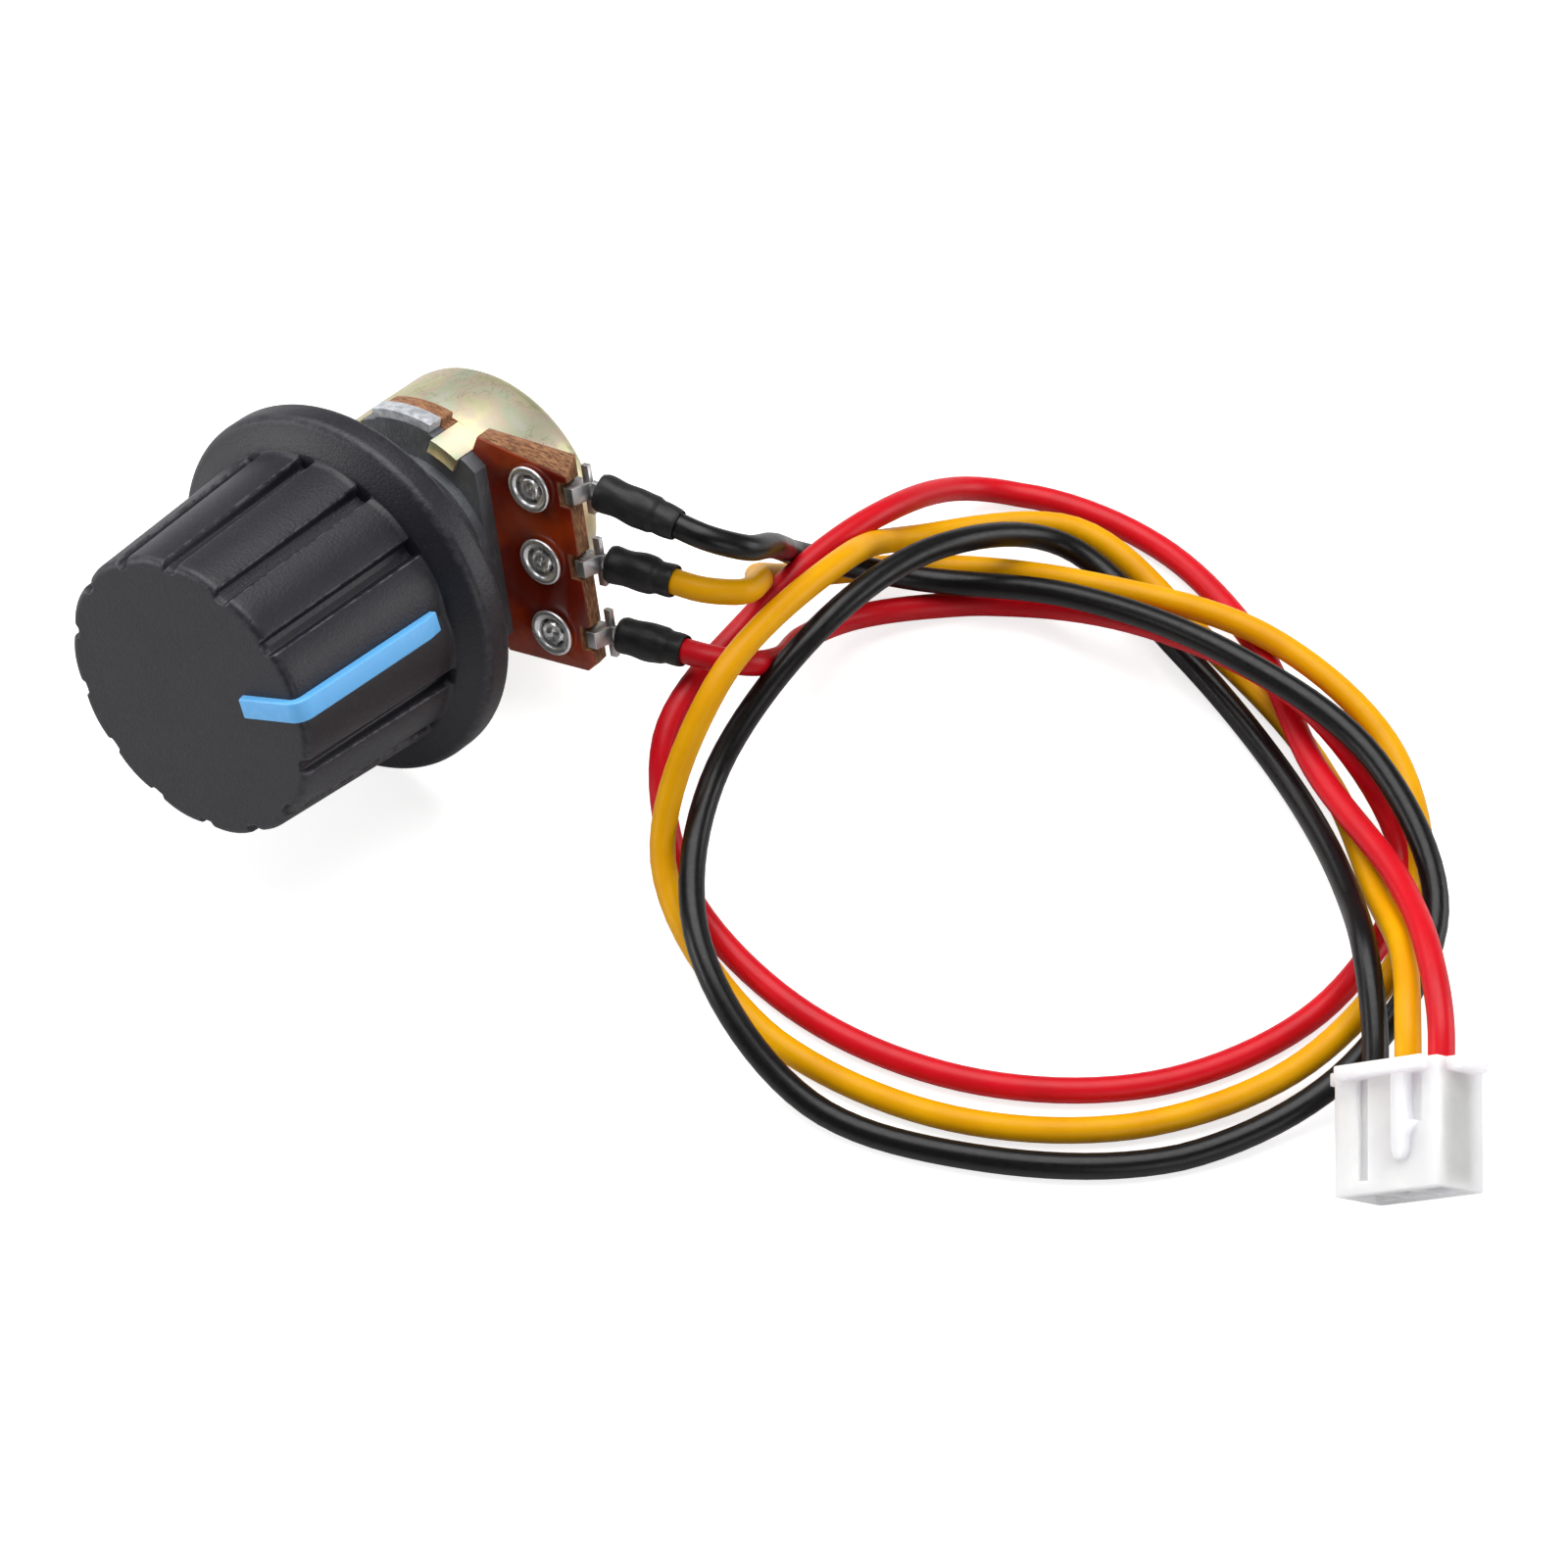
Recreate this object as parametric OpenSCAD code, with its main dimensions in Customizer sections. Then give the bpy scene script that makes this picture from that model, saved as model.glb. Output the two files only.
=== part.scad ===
// Panel speed dial for a small motor drive: a 16 mm rotary potentiometer with
// a fluted push-on knob, three soldered leads and a three-way plug.
// The parts of the dial are drawn in the dial frame: x points to the
// terminals, z runs out along the shaft, and z = 0 is the face that meets the
// panel. placed() then lays the dial on the table as it would rest by itself.

/* [Knob] */
// Radius of the grip at its front face
knob_face_r = 9.3; // [8.6:0.1:9.8]
// Radius of the grip where it meets the flange
knob_foot_r = 10.1; // [9.8:0.1:10.6]
// Radius of the flange
flange_r = 12.1; // [11.6:0.1:14]
// Thickness of the flange at its rim
flange_t = 2.4; // [1.8:0.1:3]
// Height of the flange at the foot of the grip
flange_rise = 3; // [2.6:0.1:3.6]
// Height of the whole knob
knob_h = 15.7; // [15:0.1:20]
// Gap between the flange and the panel face of the potentiometer
knob_gap = 5; // [4.5:0.1:6]
// Number of grip positions, one of which holds the pointer
flute_count = 14; // [10:1:18]
// Width of a grip groove
flute_w = 1.2; // [0.8:0.1:1.6]
// Depth of a grip groove
flute_depth = 0.7; // [0.4:0.1:0.9]
// Depth of the same grooves at the front face
flute_face_depth = 0.4; // [0.2:0.1:0.7]
// Rounding of the front edge of the grip
face_round = 0.5; // [0.3:0.1:0.8]
// Rounding of the flange rim
rim_round = 0.7; // [0.4:0.1:0.9]
// Outer wall of the hollow knob
knob_wall = 1.5; // [1.3:0.1:1.7]
// Thickness of the front face
knob_roof = 1.8; // [1.4:0.1:2.2]
// Outer radius of the boss that grips the shaft
boss_r = 4.8; // [4.4:0.1:5.4]
// Thickness of the ribs between boss and wall
rib_t = 0.9; // [0.6:0.1:1.2]
// Angle of the pointer about the shaft from the terminals
pointer_turn = 9; // [-180:1:180]

/* [Pointer] */
// Width of the pointer strip
pointer_w = 1.3; // [1:0.1:1.8]
// Height of the strip above the knob surface
pointer_proud = 0.5; // [0.3:0.1:0.7]
// Depth of the slot that holds the strip
pointer_deep = 0.8; // [0.5:0.1:1]
// Radius at which the strip starts on the front face
pointer_in_r = 4.6; // [3:0.1:6]
// Distance from the flange foot to the end of the strip
pointer_end = 1.1; // [0.6:0.1:2]

/* [Shaft and bushing] */
// Diameter of the shaft
shaft_d = 6; // [5.6:0.1:6.4]
// Length of the shaft in front of the panel face
shaft_out = 15; // [14:0.5:15.5]
// Number of splines on the tip of the shaft
spline_count = 18; // [12:1:24]
// Depth of the spline grooves
spline_depth = 0.3; // [0.2:0.05:0.4]
// Length of the splined tip
spline_len = 6.2; // [5:0.1:6.6]
// Width of the slot that splits the tip
split_w = 1; // [0.6:0.1:1.2]
// Outer diameter of the bushing thread
thread_d = 7; // [6.9:0.1:7.5]
// Length of the bushing in front of the panel face
bushing_len = 7; // [6.5:0.1:7]
// Radial running clearance of the shaft
run_gap = 0.05; // [0.03:0.01:0.08]
// Outer diameter of the retaining clip
clip_d = 6.5; // [6.4:0.1:6.6]
// Thickness of the retaining clip
clip_t = 0.5; // [0.4:0.05:0.6]
// Depth of the clip groove in the shaft
groove_depth = 0.5; // [0.3:0.05:0.6]

/* [Mounting hardware] */
// Width of the nut across its flats
nut_af = 10; // [9.5:0.1:10.5]
// Thickness of the nut
nut_t = 2; // [1.6:0.1:2.2]
// Outer diameter of the washer
washer_d = 11.5; // [10.5:0.1:12]
// Thickness of the washer
washer_t = 0.5; // [0.4:0.1:0.8]

/* [Potentiometer case] */
// Outer radius of the steel can
can_r = 8.25; // [8.1:0.05:8.6]
// Wall of the steel can
can_wall = 0.35; // [0.3:0.05:0.45]
// Distance from the panel face to the back of the can
can_back = 9; // [8.6:0.1:10]
// Rounding of the drawn can at its back
can_round = 1.1; // [0.9:0.1:1.3]
// Width of a can tab
tab_w = 2.1; // [2:0.1:2.8]
// Length that a folded tab lies on the plate
tab_fold = 1; // [0.8:0.1:2]
// Angle of the tabs from the terminal side
tab_turn = 61.5; // [58:0.5:62]
// Thickness of the front plate
plate_t = 1.1; // [1:0.1:1.7]
// Height of the pad that meets the panel
pad_t = 0.7; // [0.4:0.1:0.8]
// Radius of the pad that meets the panel
pad_r = 6.1; // [5.9:0.1:6.3]
// Radius of the ears between the tabs
ear_r = 8.9; // [8.8:0.1:9.2]
// Half angle of the ears between the tabs
ear_half = 15; // [13:1:16]
// Angle by which the ears lean towards the terminals
ear_lean = 3; // [0:0.5:4]
// Width of the locating lug
lug_w = 2.6; // [2:0.1:3]
// Height of the locating lug above the plate
lug_h = 1.8; // [1.2:0.1:2]

/* [Resistor board] */
// Thickness of the phenolic board
board_t = 1.2; // [1:0.1:1.4]
// Distance from the shaft to the outer edge of the board
tail_x = 12.1; // [11.8:0.1:12.6]
// Half width of the board tail
tail_half = 7.3; // [7.2:0.1:7.6]
// Distance from the shaft to the eyelets
pin_x = 9.2; // [9.1:0.1:9.6]
// Distance between two terminals
pin_pitch = 5; // [5:0.1:5.2]
// Width of the notch at each terminal
notch_w = 1.7; // [1.5:0.1:1.9]
// Depth of the notch at each terminal
notch_depth = 0.8; // [0.6:0.1:1]
// Swept angle of the resistor track
track_sweep = 300; // [270:5:310]
// Mean radius of the resistor track
track_r = 6.1; // [5.9:0.1:6.2]
// Width of the resistor track
track_w = 1.3; // [1:0.1:1.5]
// Mean radius of the collector ring
ring_r = 4.2; // [4.1:0.05:4.3]
// Width of the collector ring
ring_w = 0.8; // [0.6:0.1:0.9]
// Thickness of the printed track and ring
print_t = 0.06; // [0.04:0.01:0.1]

/* [Terminals and eyelets] */
// Thickness of the terminal strip
strip_t = 0.35; // [0.3:0.05:0.4]
// Width of the terminal at its shoulders
shoulder_w = 3.3; // [3:0.1:3.4]
// Width of the terminal strip on the board
strip_w = 2.4; // [2.2:0.1:2.6]
// Width of the lead that the wire is soldered to
lead_w = 1; // [0.9:0.1:1.2]
// Distance from the shaft to the outer edge of the terminal shoulders
shoulder_x = 12.9; // [12.8:0.1:13]
// Distance from the shaft to the end of the lead
lead_end_x = 16.4; // [16:0.1:17]
// Outer diameter of an eyelet barrel
eyelet_d = 1.9; // [1.6:0.1:2]
// Bore of an eyelet
eyelet_bore = 1.3; // [1.1:0.1:1.4]
// Diameter of the flared eyelet head
flare_d = 3.1; // [2.6:0.1:3.2]
// Diameter of the rolled eyelet flange behind the board
roll_d = 2.7; // [2.4:0.1:3]
// Height of the flared eyelet head
flare_t = 0.35; // [0.3:0.05:0.45]
// Number of splits in the flared head
flare_splits = 5; // [4:1:6]

/* [Rotor] */
// Radius of the rotor disc
rotor_r = 6.4; // [6.2:0.1:6.5]
// Thickness of the rotor disc
rotor_t = 1.6; // [1.2:0.1:2]
// Depth of the rotor hub behind the disc
hub_t = 2.2; // [1.6:0.1:2.4]
// Radius of the rotor hub
hub_r = 4.2; // [3.8:0.1:4.6]
// Diameter of the shaft inside the rotor
journal_d = 4.6; // [4.2:0.1:5]
// Distance from the board to the rotor disc
rotor_gap = 0.8; // [0.7:0.1:1]
// Thickness of the wiper sheet
wiper_t = 0.2; // [0.15:0.05:0.25]
// Width of a wiper finger
finger_w = 1.1; // [0.8:0.1:1.2]
// Clearance between the wiper tips and the prints
wiper_gap = 0.1; // [0.08:0.01:0.15]
// Half of the turn from one end stop to the other
half_turn = 150; // [130:1:155]
// Half angle of the rotor stop lug
lug_half = 12; // [8:1:14]

/* [Leads] */
// Outer diameter of a lead
wire_d = 1.6; // [1.4:0.1:1.7]
// Outer diameter of the shrink sleeve over the solder joint
sleeve_d = 2.4; // [2.2:0.1:2.6]
// Outer diameter of the shrink sleeve over the lead
sleeve_neck_d = 2.1; // [2:0.1:2.2]
// Distance from the shaft to the start of the sleeves
sleeve_x = 13.4; // [13.4:0.1:14]
// Length of a shrink sleeve
sleeve_len = 4.4; // [4:0.1:5]
// Angle at which the soldered ends lean back from the board
sleeve_back = 10; // [0:1:14]
// Share of the sleeve length at which it steps down
step_share = 0.72; // [0.5:0.01:0.8]

/* [Plug] */
// Distance between two ways of the plug
way_pitch = 2.5; // [2.5:0.05:2.6]
// Width of the plug body
plug_w = 7.8; // [7.7:0.1:8]
// Thickness of the plug body
plug_t = 4.1; // [4:0.1:4.3]
// Length of the plug with its collar
plug_len = 7.6; // [7:0.1:8]
// Width of the collar with its ears
collar_w = 10; // [9.6:0.1:10.4]
// Thickness of the collar across its lips
collar_t = 5.7; // [5.4:0.1:5.9]
// Height of the collar
collar_h = 0.8; // [0.7:0.1:1.2]
// Width of the collar lips
lip_w = 6.6; // [6:0.1:7]
// Thickness of the collar ears
ear_t = 2.4; // [2:0.1:2.8]
// Width of a contact cavity
cavity_w = 1.9; // [1.8:0.05:2]
// Thickness of a contact cavity
cavity_t = 2.3; // [2:0.1:2.5]
// Width of the side groove
side_groove_w = 0.8; // [0.7:0.1:1]
// Depth of the side groove
side_groove_depth = 0.4; // [0.3:0.1:0.5]
// Distance from the plug centre to the side groove
side_groove_x = -1.8; // [-2.1:0.1:-1.6]
// Width of the latch rib
rib_w = 1.1; // [0.9:0.1:1.3]
// Height of the latch rib
rib_h = 0.5; // [0.3:0.1:0.6]
// Distance from the plug centre to the latch rib
rib_x = 1.3; // [1.1:0.1:1.5]
// Length of the latch rib
rib_len = 5.9; // [5.4:0.1:6.2]
// Heading of the plug on the table
plug_heading = -54.2; // [-60:0.1:-45]
// Angle at which the mating end dips to the table
plug_lean = 21.2; // [18:0.1:30]
// Roll of the plug about its own length
plug_roll = 46.8; // [40:0.1:50]

/* [Hidden] */
$fn = 48;

// Overrun of every cut past the face that it opens
cut = 0.6;
// Clearance between two pieces that are pressed or riveted together
fit_gap = 0.02;
// Clearance between the two threads of nut and bushing
thread_gap = 0.04;
// Steps in a quarter turn of a rounded edge
round_steps = 4;

// Levels along the shaft, measured from the panel face
knob_top = knob_gap + knob_h;
foot_z = knob_gap + flange_rise;
plate_front = -pad_t;
plate_back = plate_front - plate_t;
board_back = plate_back - board_t;
strip_back = board_back - strip_t;
strip_mid = board_back - strip_t / 2;
rotor_front = board_back - rotor_gap;
rotor_back = rotor_front - rotor_t;
hub_back = rotor_back - hub_t;
can_floor = -can_back + can_wall;
clip_z = bushing_len + run_gap;
boss_gap = 0.4;
boss_z = clip_z + clip_t + boss_gap;
bore_gap = 0.03;
bore_top_gap = 0.4;

// Slope of the grip
flute_slope = atan((knob_foot_r - flute_depth - knob_face_r + flute_face_depth) / (knob_top - foot_z));
rib_inset = 1.2;
knob_rib_count = 4;
flute_end_gap = 0.25;
rim_sweep = 80;

// Case details
edge_gap = 0.05;
can_in_r = can_r - can_wall;
plate_r = can_r - edge_gap;
plate_flat_x = 5.8;
hub_clear = 0.3;
board_hole_r = shaft_d / 2 + hub_clear;
window_half = 42;
window_drop = 1.6;
lug_x = 7.8;
lug_t = 1;
bushing_chamfer = 0.4;
relief_above = 0.7;
relief_top = washer_t + nut_t + relief_above;
relief_w = 1.5;
relief_cut = 0.5;
shaft_chamfer = 0.5;
stake_len = 0.4;
tail_top_x = 4.6;
tail_top_y = 7.8;
tail_front_drop = 1.6;
tail_back_drop = 0.5;
tail_chamfer = 0.6;
stop_gap_angle = 1;
half_circle = 180;
stop_half = half_circle - half_turn - lug_half - stop_gap_angle;
stop_reach = 0.3;
lug_gap = 0.4;
lug_r = can_in_r - lug_gap;
ear_back_gap = 0.2;

// Terminals, black, yellow and red
way_places = [1, 0, -1];
sleeve_turns = [-19, -9, -7];
sleeve_shares = [1.23, 1, 1];
tongue_w = 1.1;
tongue_x = 11.8;
tongue_run = 0.65;
tongue_fall = 0.5;
shoulder_len = 0.5;
bare_gap = 0.05;

// How the dial lies on the table: on the back edge of its flange and on the
// back edge of its can, with the terminals turned up a little
terminal_turn = 19.9;
rim_mid_r = flange_r - rim_round;
rim_mid_z = knob_gap + rim_round;
heel_mid_r = can_r - can_round;
heel_mid_z = -can_back + can_round;
rest_run = rim_mid_z - heel_mid_z;
rest_drop = rim_mid_r - heel_mid_r;
tilt = atan2(rest_drop, rest_run) + asin((rim_round - can_round) / norm([rest_run, rest_drop]));
rest_h = rim_mid_r * cos(tilt) + rim_round - rim_mid_z * sin(tilt);

// Directions of the dial frame on the table
dir_x = [cos(terminal_turn), sin(terminal_turn) * sin(tilt), sin(terminal_turn) * cos(tilt)];
dir_y = [-sin(terminal_turn), cos(terminal_turn) * sin(tilt), cos(terminal_turn) * cos(tilt)];
dir_z = [0, -cos(tilt), sin(tilt)];

// The origin lies under the middle of the dial
function sleeve_dir(i) = cos(sleeve_back) * (cos(sleeve_turns[i]) * dir_x + sin(sleeve_turns[i]) * dir_y)
    - sin(sleeve_back) * dir_z;
function sleeve_long(i) = sleeve_len * sleeve_shares[i];
function sleeve_root(i) = sleeve_x * dir_x + way_places[i] * pin_pitch * dir_y + strip_mid * dir_z;
function sleeve_tip(i) = sleeve_root(i) + sleeve_long(i) * sleeve_dir(i);
reach_right = sleeve_tip(2).x + sleeve_neck_d / 2 * sqrt(1 - sleeve_dir(2).x ^ 2);
reach_front = (knob_top - face_round) * cos(tilt) + (knob_face_r - face_round) * sin(tilt) + face_round;
reach_back = (can_back - can_round) * cos(tilt) + heel_mid_r * sin(tilt) + can_round;
shift = [(flange_r - reach_right) / 2, (reach_front - reach_back) / 2, rest_h];

// The plug leans on its lowest corner
plug_spin = 90 + plug_roll;
tooth_at = 3.7;
plug_down = cos(plug_lean) * (sin(plug_roll) * plug_w / 2 + cos(plug_roll) * plug_t / 2)
    + sin(plug_lean) * plug_len;
plug_x = 65.7;
plug_y = 13.5;
plug_at = [plug_x, plug_y, plug_down];
plug_z_dir = [cos(plug_lean) * cos(plug_heading), cos(plug_lean) * sin(plug_heading), -sin(plug_lean)];
plug_fall = [-sin(plug_lean) * cos(plug_heading), -sin(plug_lean) * sin(plug_heading), -cos(plug_lean)];
plug_side = [-sin(plug_heading), cos(plug_heading), 0];
plug_x_dir = cos(plug_spin) * plug_fall + sin(plug_spin) * plug_side;

// Straight run of a lead out of its sleeve and into the plug
straight_run = 2;

// Points along each lead between its sleeve and the plug, chosen by hand
black_route = [
    [16.5, 14, 17], [16.5, 16.5, 14.6], [15.5, 19, 11], [14.5, 22, 6.5], [19.5, 27, 2.8],
    [29.5, 31, 4.6], [40.5, 32, 6.5], [52, 31, 6], [60.5, 25, 4.4], [62, 14, 2.4],
    [57, 3.5, 0.8], [48, -3.5, 0.8], [37.5, -7, 1.2], [27, -4, 4.6], [20.5, 5.5, 5.4],
    [20.5, 16, 9.6], [22, 27, 8], [26, 35, 3], [36.5, 33.5, 1.4], [47, 29.5, 1.2],
    [55.5, 23, 4.2], [59.5, 18.5, 6.5]
];
yellow_route = [
    [17, 13, 14], [16.5, 15.5, 12], [14.5, 18, 8.4], [14, 22, 3.8], [19, 29, 1.4],
    [30, 33, 4], [41, 36, 4.2], [52, 33.5, 3.8], [59.5, 24.5, 3], [59.5, 13, 1.8],
    [53.5, 3.5, 0.8], [43.5, -3, 0.8], [32, -4.5, 0.9], [21, 0, 3.8], [19, 8, 11.5],
    [19, 20, 11], [18.5, 29.5, 3.6], [25.5, 37, 2.2], [37, 35.5, 0.8], [48.5, 31.5, 0.8],
    [57, 24, 4], [61.5, 19.5, 6.8]
];
red_route = [
    [18.5, 11.5, 9.6], [19, 14, 7.6], [18, 18, 4.7], [18.5, 23, 2], [24.5, 30, 0.8],
    [35.5, 32.5, 4.2], [47, 32.5, 4.8], [56, 29, 0.8], [58, 18, 0.8], [53.5, 7.5, 0.8],
    [44.5, 0.5, 0.8], [33.5, -2, 0.8], [22.5, 0.5, 0.8], [16.5, 6, 6], [16, 15.5, 8],
    [17, 27, 7.2], [19, 37, 1.2], [29, 40, 0.8], [39.5, 36.5, 2.4], [48.5, 30, 3.4],
    [58.5, 24, 6.4], [63, 19.5, 8.8]
];

// Rounded corner of an outline, from angle a to angle b
function corner(x, y, r, a, b) = [
    for (i = [0:round_steps]) [
        x + r * cos(a + (b - a) * i / round_steps),
        y + r * sin(a + (b - a) * i / round_steps)
    ]
];

function grip_r(z) = knob_foot_r + (knob_face_r - knob_foot_r) * (z - foot_z) / (knob_top - foot_z);

module placed() {
    translate(shift) rotate([90 - tilt, 0, 0]) rotate([0, 0, terminal_turn]) children();
}

module ring(r_out, r_in, h) {
    difference() {
        cylinder(r = r_out, h = h);
        translate([0, 0, -cut]) cylinder(r = r_in, h = h + 2 * cut);
    }
}

// Flat sector of a ring, centred on the x axis
module ring_sector(r_out, r_in, h, half_angle) {
    rotate([0, 0, -half_angle])
        rotate_extrude(angle = 2 * half_angle)
            translate([r_in, 0]) square([r_out - r_in, h]);
}

module knob_shell() {
    difference() {
        rotate_extrude() polygon(concat(
            [[0, knob_gap]],
            corner(flange_r - rim_round, knob_gap + rim_round, rim_round, -90, 0),
            corner(flange_r - rim_round, knob_gap + flange_t - rim_round, rim_round, 0, rim_sweep),
            [[knob_foot_r, foot_z]],
            corner(knob_face_r - face_round, knob_top - face_round, face_round, 0, 90),
            [[0, knob_top]]
        ));
        // Hollow between the wall and the boss, open towards the panel
        rotate_extrude() polygon([
            [boss_r, knob_gap - cut],
            [knob_foot_r - knob_wall, knob_gap - cut],
            [knob_foot_r - knob_wall, foot_z],
            [knob_face_r - knob_wall, knob_top - knob_roof],
            [boss_r, knob_top - knob_roof]
        ]);
        translate([0, 0, knob_gap - cut]) cylinder(r = boss_r + fit_gap, h = boss_z - knob_gap + cut);
    }
}

module knob_ribs() {
    rib_low = boss_z + rib_inset;
    for (i = [0:knob_rib_count - 1])
        rotate([0, 0, (i + 0.5) * 360 / knob_rib_count])
            translate([boss_r - rib_t / 2, -rib_t / 2, rib_low])
                cube([knob_face_r - knob_wall - boss_r + rib_t, rib_t, knob_top - knob_roof / 2 - rib_low]);
}

// Side outline of the pointer strip, or of its slot when it is grown
module pointer_side(out, deep, low) {
    in_r = pointer_in_r - low;
    end_z = foot_z + pointer_end - low;
    polygon([
        [in_r, knob_top - deep],
        [in_r + pointer_deep / 2, knob_top + out],
        [knob_face_r - face_round, knob_top + out],
        [grip_r(knob_top - face_round) + out, knob_top - face_round],
        [grip_r(end_z + pointer_end) + out, end_z + pointer_end],
        [grip_r(end_z) + out / 2, end_z],
        [grip_r(end_z) - deep, end_z],
        [knob_face_r - deep, knob_top - deep]
    ]);
}

module pointer_strip(w, out, deep, low) {
    rotate([0, 0, pointer_turn])
        translate([0, w / 2, 0]) rotate([90, 0, 0])
            linear_extrude(height = w) pointer_side(out, deep, low);
}

module knob_body() {
    color("#3a3a3e") placed() difference() {
        union() {
            knob_shell();
            knob_ribs();
        }
        for (i = [1:flute_count - 1])
            rotate([0, 0, pointer_turn + i * 360 / flute_count])
                translate([knob_foot_r - flute_depth, 0, foot_z]) rotate([0, -flute_slope, 0])
                    translate([0, -flute_w / 2, flute_end_gap])
                        cube([flute_depth + cut, flute_w, knob_top - foot_z + cut]);
        pointer_strip(pointer_w + 2 * fit_gap, cut, pointer_deep + fit_gap, fit_gap);
        translate([0, 0, knob_gap])
            cylinder(r = shaft_d / 2 + bore_gap, h = shaft_out + bore_top_gap - knob_gap);
    }
}

module knob_pointer() {
    color("#56a0e0") placed() pointer_strip(pointer_w, pointer_proud, pointer_deep, 0);
}

module shaft() {
    groove_w = clip_t + 2 * fit_gap;
    spline_side = spline_depth * sqrt(2);
    color("#c9cdd2") placed() difference() {
        rotate_extrude() polygon([
            [0, hub_back - stake_len],
            [journal_d / 2, hub_back - stake_len],
            [journal_d / 2, rotor_front + fit_gap],
            [shaft_d / 2, rotor_front + fit_gap],
            [shaft_d / 2, clip_z - fit_gap],
            [shaft_d / 2 - groove_depth, clip_z - fit_gap],
            [shaft_d / 2 - groove_depth, clip_z - fit_gap + groove_w],
            [shaft_d / 2, clip_z - fit_gap + groove_w],
            [shaft_d / 2, shaft_out - shaft_chamfer],
            [shaft_d / 2 - shaft_chamfer, shaft_out],
            [0, shaft_out]
        ]);
        for (i = [0:spline_count - 1])
            rotate([0, 0, i * 360 / spline_count])
                translate([shaft_d / 2, 0, shaft_out - spline_len]) rotate([0, 0, 45])
                    translate([-spline_side / 2, -spline_side / 2, 0])
                        cube([spline_side, spline_side, spline_len + cut]);
        translate([-shaft_d, -split_w / 2, shaft_out - spline_len])
            cube([2 * shaft_d, split_w, spline_len + cut]);
    }
}

module retaining_clip() {
    mouth = shaft_d / 2 + fit_gap;
    color("#8d9096") placed() translate([0, 0, clip_z]) difference() {
        ring(clip_d / 2, shaft_d / 2 - groove_depth + fit_gap, clip_t);
        translate([0, -mouth / 2, -cut]) cube([clip_d, mouth, clip_t + 2 * cut]);
    }
}

module rotor() {
    color("#e8e4d8") placed() difference() {
        union() {
            translate([0, 0, rotor_back]) cylinder(r = rotor_r, h = rotor_t);
            translate([0, 0, hub_back]) cylinder(r = hub_r, h = hub_t + rotor_t / 2);
            translate([0, 0, rotor_back]) ring_sector(lug_r, hub_r, rotor_t, lug_half);
        }
        translate([0, 0, hub_back - cut])
            cylinder(r = journal_d / 2 + fit_gap, h = hub_t + rotor_t + 2 * cut);
    }
}

module wiper() {
    tip_r = finger_w / 2 - wiper_t / 2;
    tip_top = board_back - print_t - wiper_gap;
    ring_in_r = shaft_d / 2 + hub_clear;
    color("#c8a050") placed() {
        translate([0, 0, rotor_front]) difference() {
            union() {
                cylinder(r = ring_r + ring_w / 2, h = wiper_t);
                translate([-track_r - tip_r, -finger_w / 2, 0])
                    cube([track_r + tip_r, finger_w, wiper_t]);
            }
            translate([0, 0, -cut]) cylinder(r = ring_in_r, h = wiper_t + 2 * cut);
        }
        // Contact domes that ride on the track and on the collector ring
        for (x = [-track_r, -ring_r, ring_r])
            translate([x, 0, rotor_front + wiper_t / 2])
                cylinder(r1 = tip_r, r2 = tip_r / 2, h = tip_top - rotor_front - wiper_t / 2);
    }
}

module plate_outline(r, edge_r) {
    intersection() {
        union() {
            circle(r = r);
            for (side = [-1, 1])
                rotate([0, 0, side * 90 - ear_lean]) intersection() {
                    circle(r = edge_r);
                    polygon([
                        [0, 0],
                        [2 * edge_r, -2 * edge_r * tan(ear_half)],
                        [2 * edge_r, 2 * edge_r * tan(ear_half)]
                    ]);
                }
        }
        translate([-2 * edge_r, -2 * edge_r]) square([4 * edge_r, 4 * edge_r]);
    }
}

// Room that the board and the plate leave for the four tabs of the can
module tab_room() {
    for (a = [tab_turn, 180 - tab_turn, 180 + tab_turn, -tab_turn])
        rotate([0, 0, a])
            translate([can_in_r - edge_gap, -tab_w / 2 - edge_gap])
                square([can_r, tab_w + 2 * edge_gap]);
}

module bushing_plate() {
    color("#5d6166") placed() difference() {
        union() {
            translate([0, 0, plate_back]) linear_extrude(height = plate_t) difference() {
                plate_outline(plate_r, ear_r);
                tab_room();
                translate([plate_flat_x, -2 * can_r]) square([can_r, 4 * can_r]);
            }
            translate([0, 0, plate_back]) linear_extrude(height = plate_t + pad_t) difference() {
                circle(r = pad_r);
                translate([plate_flat_x, -2 * can_r]) square([can_r, 4 * can_r]);
            }
            translate([0, 0, plate_back]) cylinder(d = thread_d, h = relief_top - relief_w - plate_back);
            translate([0, 0, relief_top - relief_w - cut])
                cylinder(d = thread_d - relief_cut, h = relief_w + 2 * cut);
            translate([0, 0, relief_top])
                cylinder(d = thread_d, h = bushing_len - bushing_chamfer - relief_top);
            translate([0, 0, bushing_len - bushing_chamfer])
                cylinder(r1 = thread_d / 2, r2 = thread_d / 2 - bushing_chamfer / 2, h = bushing_chamfer);
            translate([-lug_x, -lug_w / 2, plate_back]) cube([lug_t, lug_w, plate_t + lug_h]);
        }
        translate([0, 0, plate_back - cut])
            cylinder(r = shaft_d / 2 + run_gap, h = bushing_len - plate_back + 2 * cut);
    }
}

module flat_washer() {
    color("#d2d4d6") placed() ring(washer_d / 2, thread_d / 2 + thread_gap, washer_t);
}

module mounting_nut() {
    color("#d8c87a") placed() translate([0, 0, washer_t]) difference() {
        cylinder(d = nut_af / cos(30), h = nut_t, $fn = 6);
        translate([0, 0, -cut]) cylinder(r = thread_d / 2 + thread_gap, h = nut_t + 2 * cut);
    }
}

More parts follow.
